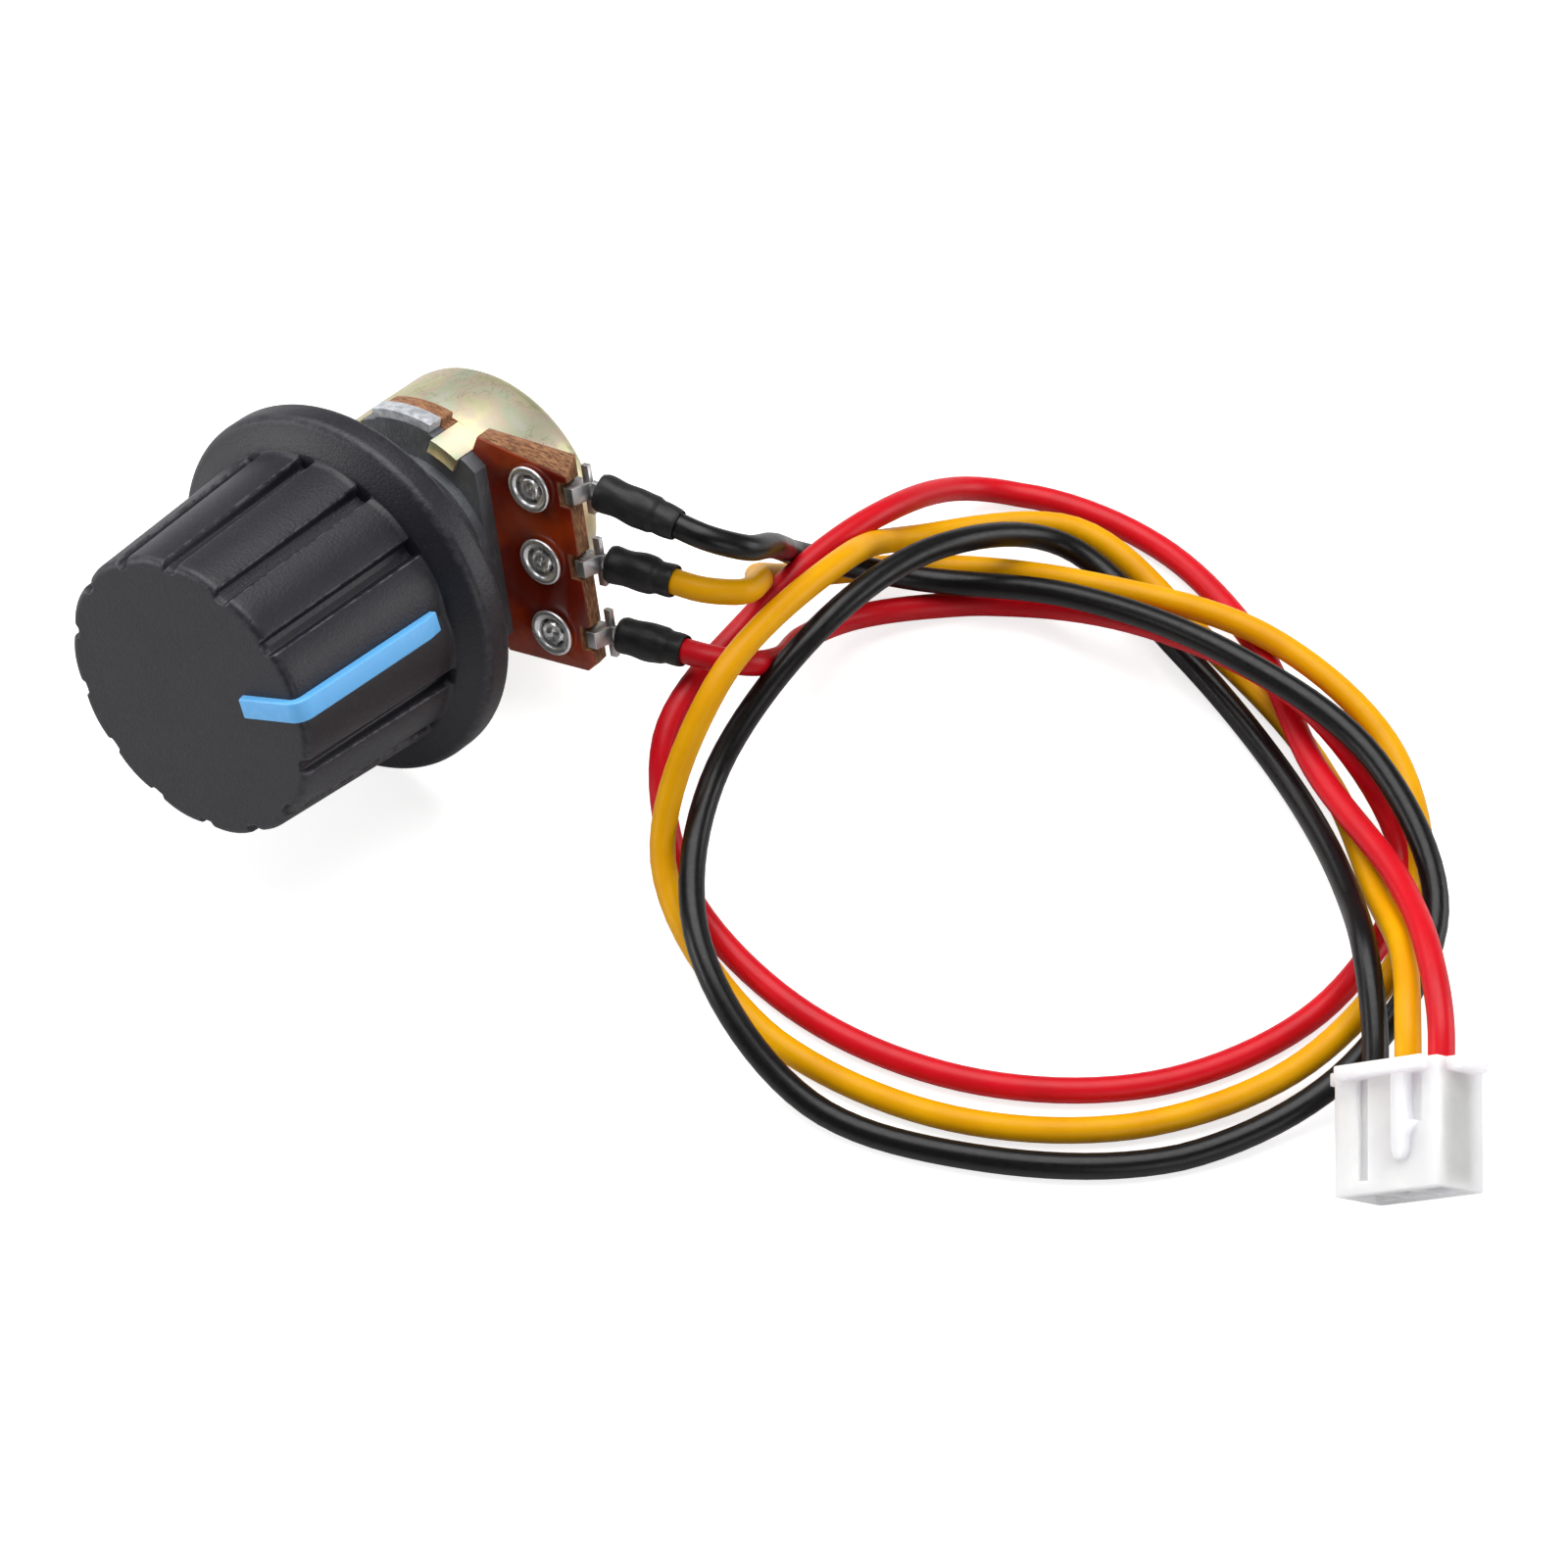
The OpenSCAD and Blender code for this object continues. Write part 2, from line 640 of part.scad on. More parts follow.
// Tail of the board; its upper side slopes, because it is broken off a strip
module tail_outline(drop) {
    polygon([
        [0, -tail_half],
        [tail_x - tail_chamfer, -tail_half],
        [tail_x, -tail_half + tail_chamfer],
        [tail_x, tail_top_y - drop],
        [tail_top_x, tail_top_y],
        [0, can_in_r - can_round]
    ]);
}

module board_cuts() {
    tab_room();
    circle(r = board_hole_r);
    for (k = way_places)
        translate([pin_x, k * pin_pitch]) circle(d = eyelet_d + 2 * fit_gap);
    for (k = way_places)
        translate([tail_x - notch_depth, k * pin_pitch - notch_w / 2]) square([notch_depth + cut, notch_w]);
}

module resistor_board() {
    color("#9a3a1c") placed() translate([0, 0, board_back]) difference() {
        union() {
            linear_extrude(height = board_t) plate_outline(plate_r, ear_r - ear_back_gap);
            hull() {
                linear_extrude(height = print_t) tail_outline(tail_back_drop);
                translate([0, 0, board_t - print_t])
                    linear_extrude(height = print_t) tail_outline(tail_front_drop);
            }
        }
        translate([0, 0, -cut]) linear_extrude(height = board_t + 2 * cut) board_cuts();
    }
}

module carbon_track() {
    color("#26272a") placed() translate([0, 0, board_back - print_t]) rotate([0, 0, 180])
        ring_sector(track_r + track_w / 2, track_r - track_w / 2, print_t, track_sweep / 2);
}

module collector_ring() {
    color("#c4c8cc") placed() translate([0, 0, board_back - print_t])
        ring(ring_r + ring_w / 2, ring_r - ring_w / 2, print_t);
}

// Terminal i: strip behind the board, tongue through the notch, shoulders, lead
module terminal(i) {
    color("#b6b9bd") placed() translate([0, way_places[i] * pin_pitch, 0]) {
        difference() {
            translate([0, 0, strip_back]) union() {
                translate([pin_x, 0, 0]) cylinder(d = strip_w, h = strip_t);
                translate([pin_x, -strip_w / 2, 0]) cube([tail_x - notch_depth - pin_x, strip_w, strip_t]);
                translate([pin_x, -tongue_w / 2, 0]) cube([tongue_x - pin_x, tongue_w, strip_t]);
                translate([shoulder_x - shoulder_len, -shoulder_w / 2, 0])
                    cube([shoulder_len, shoulder_w, strip_t]);
                translate([sleeve_x - fit_gap, 0, 0]) rotate([0, sleeve_back, sleeve_turns[i]])
                    translate([shoulder_x - sleeve_x - fit_gap, -lead_w / 2, 0])
                        cube([lead_end_x - shoulder_x, lead_w, strip_t]);
            }
            translate([pin_x, 0, strip_back - cut])
                cylinder(d = eyelet_d + 2 * fit_gap, h = strip_t + 2 * cut);
        }
        // Tongue that rises into the notch, runs level and falls to the shoulders
        translate([0, tongue_w / 2, 0]) rotate([90, 0, 0]) linear_extrude(height = tongue_w) polygon([
            [tongue_x - strip_t, strip_back],
            [tongue_x + strip_t, strip_back],
            [tongue_x + strip_t, plate_back - strip_t],
            [tongue_x + tongue_run - strip_t / 2, plate_back - strip_t],
            [tongue_x + tongue_run + tongue_fall - strip_t / 2, strip_back],
            [tongue_x + tongue_run + tongue_fall, board_back],
            [tongue_x + tongue_run, plate_back],
            [tongue_x, plate_back],
            [tongue_x, board_back],
            [tongue_x - strip_t, board_back]
        ]);
    }
}

module eyelets() {
    color("#c8ccd0") placed() for (k = way_places)
        translate([pin_x, k * pin_pitch, 0]) difference() {
            union() {
                translate([0, 0, strip_back - flare_t]) cylinder(d = roll_d, h = flare_t - fit_gap);
                translate([0, 0, strip_back - flare_t])
                    cylinder(d = eyelet_d, h = plate_back - strip_back + 2 * flare_t);
                difference() {
                    translate([0, 0, plate_back + fit_gap])
                        cylinder(r1 = flare_d / 2, r2 = eyelet_d / 2, h = flare_t);
                    for (i = [0:flare_splits - 1])
                        rotate([0, 0, i * 360 / flare_splits])
                            translate([eyelet_d / 2, -strip_t / 3, plate_back])
                                cube([flare_d, strip_t / 1.5, flare_t + cut]);
                }
            }
            translate([0, 0, strip_mid])
                cylinder(d = eyelet_bore, h = plate_back - strip_mid + flare_t + cut);
        }
}

module can_tab() {
    fold_top = plate_front + fit_gap + can_wall;
    root_z = board_back - can_wall;
    intersection() {
        translate([0, -tab_w / 2, root_z]) cube([can_r + cut, tab_w, fold_top - root_z]);
        rotate_extrude() polygon([
            [can_r - fit_gap, root_z],
            [can_r - fit_gap, fold_top],
            [can_r - tab_fold, fold_top],
            [can_r - tab_fold, fold_top - can_wall],
            [can_in_r + fit_gap, fold_top - can_wall],
            [can_in_r + fit_gap, root_z]
        ]);
    }
}

module rear_can() {
    color("#cfc08a") placed() {
        difference() {
            rotate_extrude() polygon(concat(
                [[0, -can_back]],
                corner(can_r - can_round, -can_back + can_round, can_round, -90, 0),
                [[can_r, board_back], [can_in_r, board_back]],
                corner(can_in_r - can_round + can_wall, can_floor + can_round - can_wall,
                    can_round - can_wall, 0, -90),
                [[0, can_floor]]
            ));
            // Window for the terminals and the eyelets
            translate([0, 0, board_back - window_drop])
                ring_sector(can_r + cut, can_in_r - cut, window_drop + cut, window_half);
        }
        for (a = [tab_turn, 180 - tab_turn, 180 + tab_turn, -tab_turn])
            rotate([0, 0, a]) can_tab();
        // End stop, pressed in from the wall opposite the terminals
        translate([0, 0, can_floor - can_wall / 2]) rotate([0, 0, 180])
            ring_sector(can_in_r + can_wall / 2, rotor_r + stop_reach, rotor_front - can_floor, stop_half);
    }
}

module solder_joints() {
    joint_r = wire_d / 2;
    color("#a8abad") placed() for (i = [0:2])
        translate([sleeve_x, way_places[i] * pin_pitch, strip_mid]) rotate([0, sleeve_back, sleeve_turns[i]])
            difference() {
                translate([lead_w / 2, 0, 0]) rotate([0, 90, 0])
                    cylinder(r = joint_r, h = sleeve_long(i) - lead_w / 2);
                translate([0, -lead_w / 2 - edge_gap, -strip_t / 2 - edge_gap])
                    cube([lead_end_x - sleeve_x + edge_gap, lead_w + 2 * edge_gap, strip_t + 2 * edge_gap]);
            }
}

module sleeve(i) {
    long = sleeve_long(i);
    step = long * step_share;
    color("#2a2a2c") placed()
        translate([sleeve_x, way_places[i] * pin_pitch, strip_mid]) rotate([0, sleeve_back, sleeve_turns[i]])
            rotate([0, 90, 0]) difference() {
                rotate_extrude() polygon([
                    [0, 0],
                    [sleeve_d / 2, 0],
                    [sleeve_d / 2, step],
                    [sleeve_neck_d / 2, step + sleeve_d - sleeve_neck_d],
                    [sleeve_neck_d / 2, long],
                    [0, long]
                ]);
                translate([0, 0, -cut]) cylinder(r = wire_d / 2 + bare_gap, h = long + 2 * cut);
            }
}

// Lead tube: rings square to the route, mitred where it bends
function unit(v) = v / norm(v);
function heading_at(p, i) =
    i == 0 ? unit(p[1] - p[0]) :
    i == len(p) - 1 ? unit(p[i] - p[i - 1]) :
    unit(unit(p[i + 1] - p[i]) + unit(p[i] - p[i - 1]));
function side_at(t) = unit(cross(t, [0, 0, 1]));

module lead_tube(p) {
    sides = 8;
    last = len(p) - 1;
    points = [
        for (i = [0:last])
            let (t = heading_at(p, i), s = side_at(t), u = cross(s, t))
                for (k = [0:sides - 1])
                    p[i] + wire_d / 2 * (cos(k * 360 / sides) * s + sin(k * 360 / sides) * u)
    ];
    walls = [
        for (i = [0:last - 1]) for (k = [0:sides - 1])
            let (a = i * sides + k, b = i * sides + (k + 1) % sides)
                [a, b, b + sides, a + sides]
    ];
    near_end = [for (k = [sides - 1:-1:0]) k];
    far_end = [for (k = [0:sides - 1]) last * sides + k];
    polyhedron(points = points, faces = concat(walls, [near_end, far_end]), convexity = 10);
}

function plug_way(i) = plug_at - way_places[i] * way_pitch * plug_x_dir;

// The whole route of lead i: straight out of its sleeve, its own points, and
// straight into the plug
function whole_route(i, route) = concat(
    [shift + sleeve_tip(i), shift + sleeve_tip(i) + straight_run * sleeve_dir(i)],
    route,
    [plug_way(i) - straight_run * plug_z_dir, plug_way(i)]
);

module plug_placed() {
    translate(plug_at) rotate([0, 0, plug_heading]) rotate([0, 90 + plug_lean, 0])
        rotate([0, 0, plug_spin]) children();
}

module box_mid(w, t, h) {
    translate([-w / 2, -t / 2, 0]) cube([w, t, h]);
}

// The latch rib is a bar with a blunt point and one tooth on its side
module latch_outline() {
    half = rib_w / 2;
    tooth_w = 0.6;
    tooth_run = 0.9;
    polygon([
        [-half, 0],
        [half, 0],
        [half, tooth_at],
        [half + tooth_w, tooth_at],
        [half, tooth_at + tooth_run],
        [half, rib_len - half],
        [half / 2, rib_len],
        [-half / 2, rib_len],
        [-half, rib_len - half]
    ]);
}

module plug_housing() {
    color("#ecebe8") plug_placed() difference() {
        union() {
            box_mid(plug_w, plug_t, plug_len);
            box_mid(collar_w, ear_t, collar_h);
            box_mid(lip_w, collar_t, collar_h);
            translate([rib_x, plug_t / 2 + rib_h, 0]) rotate([90, 0, 0])
                linear_extrude(rib_h + fit_gap) latch_outline();
        }
        for (i = [-1:1])
            translate([i * way_pitch, 0, -cut]) box_mid(cavity_w, cavity_t, plug_len + 2 * cut);
        translate([side_groove_x - side_groove_w / 2, plug_t / 2 - side_groove_depth, collar_h])
            cube([side_groove_w, side_groove_depth + cut, plug_len - 2 * collar_h]);
        // Shallow channel beside the latch rib, down to its tooth
        translate([rib_x + rib_w / 2, plug_t / 2 - side_groove_depth / 2, collar_h])
            cube([side_groove_w, side_groove_depth, tooth_at - collar_h]);
        // Windows for the contact lances, on the hidden face
        for (i = [-1:1])
            translate([i * way_pitch - cavity_w / 3, -plug_t / 2 - cut, plug_len / 2])
                cube([cavity_w / 1.5, plug_t / 2 - cavity_t / 2 + 2 * cut, cavity_t]);
    }
}

module contact(i) {
    contact_wall = 0.2;
    side_gap = 0.1;
    box_w = cavity_w - 2 * side_gap;
    box_t = cavity_t - 2 * side_gap;
    barrel = 2;
    color("#c9cbc6") plug_placed() translate([-way_places[i] * way_pitch, 0, 0]) {
        cylinder(d = wire_d, h = barrel);
        translate([0, 0, barrel]) difference() {
            box_mid(box_w, box_t, plug_len - barrel - collar_h / 2);
            translate([0, 0, wire_d / 2])
                box_mid(box_w - 2 * contact_wall, box_t - 2 * contact_wall, plug_len);
        }
    }
}

module terminal_black() { terminal(0); }
module terminal_yellow() { terminal(1); }
module terminal_red() { terminal(2); }
module sleeve_black() { sleeve(0); }
module sleeve_yellow() { sleeve(1); }
module sleeve_red() { sleeve(2); }
module lead_black() { color("#232224") lead_tube(whole_route(0, black_route)); }
module lead_yellow() { color("#f0b41e") lead_tube(whole_route(1, yellow_route)); }
module lead_red() { color("#cd1928") lead_tube(whole_route(2, red_route)); }
module contact_black() { contact(0); }
module contact_yellow() { contact(1); }
module contact_red() { contact(2); }

knob_body();
knob_pointer();
shaft();
retaining_clip();
rotor();
wiper();
bushing_plate();
mounting_nut();
flat_washer();
resistor_board();
carbon_track();
collector_ring();
terminal_black();
terminal_yellow();
terminal_red();
eyelets();
rear_can();
solder_joints();
sleeve_black();
sleeve_yellow();
sleeve_red();
lead_black();
lead_yellow();
lead_red();
plug_housing();
contact_black();
contact_yellow();
contact_red();
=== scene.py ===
"""Looks of the motor speed dial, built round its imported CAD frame.

Lengths in the tables below are millimetres in the dial frame: x points to the
terminals, z runs out along the shaft, z = 0 is the face that meets the panel.
dial() lays them on the table and turns them into metres, as part.scad does. The
routes of the leads are millimetres in the shared frame.
"""
import bpy
import bmesh
import math
import numpy as np
from mathutils import Matrix


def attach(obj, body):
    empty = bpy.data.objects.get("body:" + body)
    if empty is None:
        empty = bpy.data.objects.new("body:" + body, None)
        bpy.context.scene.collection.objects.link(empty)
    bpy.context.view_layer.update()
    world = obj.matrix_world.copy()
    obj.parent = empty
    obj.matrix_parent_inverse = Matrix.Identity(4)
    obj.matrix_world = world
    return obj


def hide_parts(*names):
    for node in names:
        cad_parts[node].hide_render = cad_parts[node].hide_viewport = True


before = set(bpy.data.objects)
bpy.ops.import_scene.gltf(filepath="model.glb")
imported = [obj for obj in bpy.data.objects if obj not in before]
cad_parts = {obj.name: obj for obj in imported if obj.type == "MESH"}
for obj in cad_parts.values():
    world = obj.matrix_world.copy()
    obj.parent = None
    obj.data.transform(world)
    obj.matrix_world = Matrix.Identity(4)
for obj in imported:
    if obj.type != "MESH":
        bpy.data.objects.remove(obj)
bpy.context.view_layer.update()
MM = 0.001

# Placing
TILT = math.radians(15.7454)
TERMINAL_TURN = math.radians(19.9)
SHIFT = np.array([-3.35986, 5.84311, 10.1255])


def turn_x(a):
    return np.array([[1, 0, 0], [0, math.cos(a), -math.sin(a)], [0, math.sin(a), math.cos(a)]])


def turn_y(a):
    return np.array([[math.cos(a), 0, math.sin(a)], [0, 1, 0], [-math.sin(a), 0, math.cos(a)]])


def turn_z(a):
    return np.array([[math.cos(a), -math.sin(a), 0], [math.sin(a), math.cos(a), 0], [0, 0, 1]])


DIAL = turn_x(math.pi / 2 - TILT) @ turn_z(TERMINAL_TURN)
PLUG_AT = np.array([65.7, 13.5, 6.70727])
PLUG_HEADING, PLUG_LEAN, PLUG_ROLL = (math.radians(a) for a in (-54.2, 21.2, 46.8))
PLUG = turn_z(PLUG_HEADING) @ turn_y(math.pi / 2 + PLUG_LEAN) @ turn_z(math.pi / 2 + PLUG_ROLL)


def dial(p):
    """Shared frame position in metres of points in the dial frame: shift + rotation * p."""
    return (SHIFT + np.asarray(p, float) @ DIAL.T) * MM


def dial_back(shared):
    """Points of the dial frame in mm from their places in metres: the way back of dial()."""
    return (np.asarray(shared) / MM - SHIFT) @ DIAL


def plug_back(shared):
    """Points of the plug frame in mm from their places in metres."""
    return (np.asarray(shared) / MM - PLUG_AT) @ PLUG


# Camera
EYE = np.array([125.963, -125.535, 247.963]) * MM
LOOK_RIGHT = (0.79547, 0.60600, -0.00029)
LOOK_UP = (-0.49800, 0.65397, 0.56950)
LOOK_BACK = (0.34530, -0.45287, 0.82199)


def pose_matrix(x, y, z, place):
    """Matrix of an object from its three axes and its place."""
    return Matrix([[x[k], y[k], z[k], place[k]] for k in range(3)] + [[0, 0, 0, 1]])


camera_data = bpy.data.cameras.new("photo_camera")
camera_data.sensor_width = 36
camera_data.lens = 111.086
camera_data.clip_start = 0.01
camera_data.clip_end = 10
camera = bpy.data.objects.new("photo_camera", camera_data)
bpy.context.collection.objects.link(camera)
camera.matrix_world = pose_matrix(LOOK_RIGHT, LOOK_UP, LOOK_BACK, EYE)
bpy.context.scene.camera = camera

# Mesh tools
MERGE, CAD_MERGE = 1e-7, 2e-6
SAME_PLANE, CORNER = math.radians(0.6), math.radians(32)
FLAT_BEND, EDGE_BEND = 0.5, 0.58


def finished(name, mesh, smooth_angle):
    """Object of a mesh at the origin, smooth where it turns by less than the angle in degrees."""
    mesh.polygons.foreach_set("use_smooth", np.ones(len(mesh.polygons), bool))
    mesh.set_sharp_from_angle(angle=math.radians(smooth_angle))
    made = bpy.data.objects.new(name, mesh)
    bpy.context.collection.objects.link(made)
    return made


def keep_own(mesh, own):
    """Keeps each vertex's place in the piece's own millimetres, for its pattern."""
    kept = mesh.attributes.new("own", "FLOAT_VECTOR", "POINT")
    kept.data.foreach_set("vector", np.asarray(own, float).ravel())


def mesh_object(name, verts, faces, own, smooth_angle=40):
    """Object from vertices in metres and a list of faces, with the attributes own and bend."""
    mesh = bpy.data.meshes.new(name)
    mesh.from_pydata(np.asarray(verts, float).tolist(), [], [list(map(int, f)) for f in faces])
    keep_own(mesh, own)
    mesh.validate()
    shell = bmesh.new()
    shell.from_mesh(mesh)
    bmesh.ops.remove_doubles(shell, verts=shell.verts, dist=MERGE)
    bmesh.ops.recalc_face_normals(shell, faces=shell.faces)
    shell.to_mesh(mesh)
    shell.free()
    mesh.attributes.new("bend", "FLOAT", "POINT").data.foreach_set("value", bend(mesh))
    return finished(name, mesh, smooth_angle)


def vectors(items, key):
    """Rows of three numbers read from a mesh's vertices or normals."""
    flat = np.empty(len(items) * 3)
    items.foreach_get(key, flat)
    return flat.reshape(-1, 3)


def bend(mesh):
    """How far each vertex stands out: the angle between its normal and the mean way to its
    neighbours, over half a turn, so that 0.5 is flat and more than that an outward edge."""
    place = vectors(mesh.vertices, "co")
    normal = vectors(mesh.vertex_normals, "vector")
    ends = np.empty(len(mesh.edges) * 2, np.int64)
    mesh.edges.foreach_get("vertices", ends)
    a, b = ends.reshape(-1, 2).T
    way = place[b] - place[a]
    way /= np.maximum(np.linalg.norm(way, axis=1), 1e-12)[:, None]
    total, count = np.zeros_like(place), np.zeros(len(place))
    np.add.at(total, a, way)
    np.add.at(total, b, -way)
    np.add.at(count, a, 1)
    np.add.at(count, b, 1)
    angle = np.arccos(np.clip((normal * total).sum(1) / np.maximum(count, 1), -1, 1)) / math.pi
    spread = angle.copy()
    np.add.at(spread, a, angle[b])
    np.add.at(spread, b, angle[a])
    return spread / (count + 1)


def grid_faces(rows, cols, close_rows=False):
    """Quads of a grid of rows x cols points. Each row is a ring; the last row may join the first."""
    r, c = np.meshgrid(np.arange(rows if close_rows else rows - 1), np.arange(cols), indexing="ij")
    r, c = r.ravel(), c.ravel()
    r2, c2 = (r + 1) % rows, (c + 1) % cols
    return np.stack([r * cols + c, r * cols + c2, r2 * cols + c2, r2 * cols + c], 1).tolist()


def caps(rows, cols):
    """Faces that close the first and the last ring of a grid."""
    return [list(range(cols))[::-1], [(rows - 1) * cols + k for k in range(cols)]]


def turned(name, profile, around=128, closed=False, shape=None, place=dial, smooth_angle=40):
    """Surface of turning: the profile points (r, z) carried round the z axis, point(k, a) =
    (r_k cos a, r_k sin a, z_k). shape(x, y, z, a) may move the points before they are placed;
    it gets a row for each point of the profile and a column for each angle."""
    profile = np.asarray(profile, float)
    a = np.linspace(0, 2 * math.pi, around, endpoint=False)
    r, z = profile[:, :1], np.repeat(profile[:, 1:], around, 1)
    x, y = r * np.cos(a), r * np.sin(a)
    if shape:
        x, y, z = shape(x, y, z, np.broadcast_to(a, x.shape))
    own = np.stack([x, y, z], -1).reshape(-1, 3)
    return mesh_object(name, place(own), grid_faces(len(profile), around, closed), own, smooth_angle)


def arc(cx, cy, r, start, end, steps):
    """Points of a circular arc from angle start to end, in degrees."""
    a = np.radians(np.linspace(start, end, steps))
    return np.stack([cx + r * np.cos(a), cy + r * np.sin(a)], 1).tolist()


def along(a, b, count):
    """count points on the straight line from a to b, both ends left out."""
    t = np.linspace(0, 1, count + 2)[1:-1, None]
    return (np.asarray(a) * (1 - t) + np.asarray(b) * t).tolist()


def ease(t):
    """Smooth step from 0 to 1, without slope at both ends."""
    return 3 * t**2 - 2 * t**3


def slab(name, outline, thickness, edge, place, steps=4):
    """Flat piece from an outline that runs anticlockwise, half its thickness on each side of the
    outline's plane. The side is carried in by a quarter circle of radius edge at both faces."""
    p = np.asarray(outline, float)
    before, after = p - np.roll(p, 1, 0), np.roll(p, -1, 0) - p
    d1, d2 = (d / np.linalg.norm(d, axis=1)[:, None] for d in (before, after))
    n1, n2 = (np.stack([-d[:, 1], d[:, 0]], 1) for d in (d1, d2))
    inward = (n1 + n2) / (1 + (n1 * n2).sum(1))[:, None]
    t = np.linspace(0, math.pi / 2, steps + 1)
    inset = edge * (1 - np.sin(t))
    height = thickness / 2 - edge * (1 - np.cos(t))
    rings = zip([*inset, *inset[::-1]], [*-height, *height[::-1]])
    own = np.concatenate([np.column_stack([p + inward * i, np.full(len(p), h)]) for i, h in rings])
    rows = 2 * len(t)
    return mesh_object(name, place(own), grid_faces(rows, len(p)) + caps(rows, len(p)), own)


def from_cad(node, name, edge, back, steps, reshape):
    """Copy of a CAD node for the eye: triangles merged back into flat faces, then an edge rounded
    to that size in mm, whose faces are marked for wear. back turns metres of the shared frame
    into the piece's own mm for its pattern."""
    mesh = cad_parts[node].data.copy()
    mesh.name = name
    mesh.materials.clear()
    shell = bmesh.new()
    shell.from_mesh(mesh)
    bmesh.ops.remove_doubles(shell, verts=shell.verts, dist=CAD_MERGE)
    bmesh.ops.dissolve_limit(shell, angle_limit=SAME_PLANE, verts=shell.verts, edges=shell.edges)
    if reshape:
        for vert, place in zip(shell.verts, reshape(np.array([v.co[:] for v in shell.verts]))):
            vert.co = place
    mark = shell.faces.layers.float.new("bend")
    for face in shell.faces:
        face[mark] = FLAT_BEND
    corners = [e for e in shell.edges if e.calc_face_angle(0) > CORNER]
    strips = bmesh.ops.bevel(shell, geom=corners, offset=edge * MM, segments=steps, profile=0.5,
                             affect="EDGES", clamp_overlap=True)["faces"]
    for face in strips:
        face[mark] = EDGE_BEND
    shell.to_mesh(mesh)
    shell.free()
    keep_own(mesh, back(vectors(mesh.vertices, "co")))
    return finished(name, mesh, 40)


def fitted(piece, material, body, *nodes, slot=None):
    """Gives a piece its finish and body, and where it has them its CAD nodes. The slot is not used."""
    piece.data.materials.append(material)
    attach(piece, body)
    if nodes:
        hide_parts(*nodes)
    return piece


def copied(node, name, edge, material, body, slot, back=dial_back, steps=2, reshape=None):
    """Copy of a CAD node that takes its place; see from_cad and fitted."""
    return fitted(from_cad(node, name, edge, back, steps, reshape), material, body, node, slot=slot)


# Finishes
FLOAT, COLOUR, VECTOR = "NodeSocketFloat", "NodeSocketColor", "NodeSocketVector"
OFF_ORIGIN = (37.13, 53.71, 71.37)


def node(tree, kind, inputs=None, **props):
    """New shader node. Each input is a plain value or the socket that feeds it."""
    made = tree.nodes.new(kind)
    for key, value in props.items():
        setattr(made, key, value)
    for key, value in (inputs or {}).items():
        if isinstance(value, bpy.types.NodeSocket):
            tree.links.new(value, made.inputs[key])
        else:
            made.inputs[key].default_value = value
    return made


def math_node(tree, operation, a, b=0.0, clamp=False):
    return node(tree, "ShaderNodeMath", {0: a, 1: b}, operation=operation, use_clamp=clamp).outputs[0]


def times(tree, a, b):
    return math_node(tree, "MULTIPLY", a, b)


def vector_node(tree, operation, a, b):
    return node(tree, "ShaderNodeVectorMath", {0: a, 1: b}, operation=operation).outputs[0]


def mix(tree, factor, a, b):
    blend = node(tree, "ShaderNodeMix", {"Factor": factor, "A": a, "B": b}, data_type="RGBA")
    return blend.outputs["Result"]


def ramp(tree, value, low, high):
    """0 below low, 1 above high, smooth in between."""
    return node(tree, "ShaderNodeMapRange", {"Value": value, "From Min": low, "From Max": high},
                interpolation_type="SMOOTHSTEP").outputs["Result"]


def aside(tree, vector):
    """The vector moved off the origin, where every size of noise is zero along the same planes."""
    return vector_node(tree, "ADD", vector, OFF_ORIGIN)


def noise(tree, vector, scale, detail, roughness=0.5, distortion=0.0):
    return node(tree, "ShaderNodeTexNoise", {
        "Vector": vector, "Scale": scale, "Detail": detail, "Roughness": roughness,
        "Distortion": distortion}).outputs["Fac"]


def group(name, inputs, outputs, fill):
    """Shader node group; inputs are {socket name: (type, default)}, outputs {name: type}."""
    tree = bpy.data.node_groups.new(name, "ShaderNodeTree")
    for label, (kind, value) in inputs.items():
        socket = tree.interface.new_socket(label, in_out="INPUT", socket_type=kind)
        if value is not None:
            socket.default_value = value
    for label, kind in outputs.items():
        tree.interface.new_socket(label, in_out="OUTPUT", socket_type=kind)
    start, end = tree.nodes.new("NodeGroupInput"), tree.nodes.new("NodeGroupOutput")
    fill(tree, start.outputs, end.inputs)
    return tree


def fill_grain(tree, given, out):
    """Moulded or cast skin: fine noise for height, a broad one for shade, sparse spots."""
    spot = aside(tree, given["Vector"])
    fine = noise(tree, spot, given["Scale"], detail=4.0)
    broad = noise(tree, spot, times(tree, given["Scale"], 0.07), detail=3.0)
    spots = noise(tree, spot, times(tree, given["Scale"], 0.5), detail=6.0, roughness=0.75)
    tree.links.new(fine, out["Height"])
    tree.links.new(ramp(tree, broad, 0.35, 0.65), out["Broad"])
    tree.links.new(ramp(tree, spots, 0.62, 0.72), out["Specks"])


def fill_scratches(tree, given, out):
    """Hairline scratches: a noise stretched along one way, cut to thin lines, in patches."""
    spot = aside(tree, given["Vector"])
    bent = noise(tree, vector_node(tree, "MULTIPLY", spot, given["Stretch"]), 1.0, detail=5.0,
                 roughness=0.7, distortion=0.4)
    off_line = math_node(tree, "ABSOLUTE", math_node(tree, "SUBTRACT", bent, 0.5))
    thin = math_node(tree, "SUBTRACT", 1.0, ramp(tree, off_line, 0.0, 0.02))
    patches = ramp(tree, noise(tree, spot, 0.35, detail=2.0), 0.4, 0.62)
    tree.links.new(times(tree, thin, patches), out["Mask"])
    tree.links.new(bent, out["Lines"])


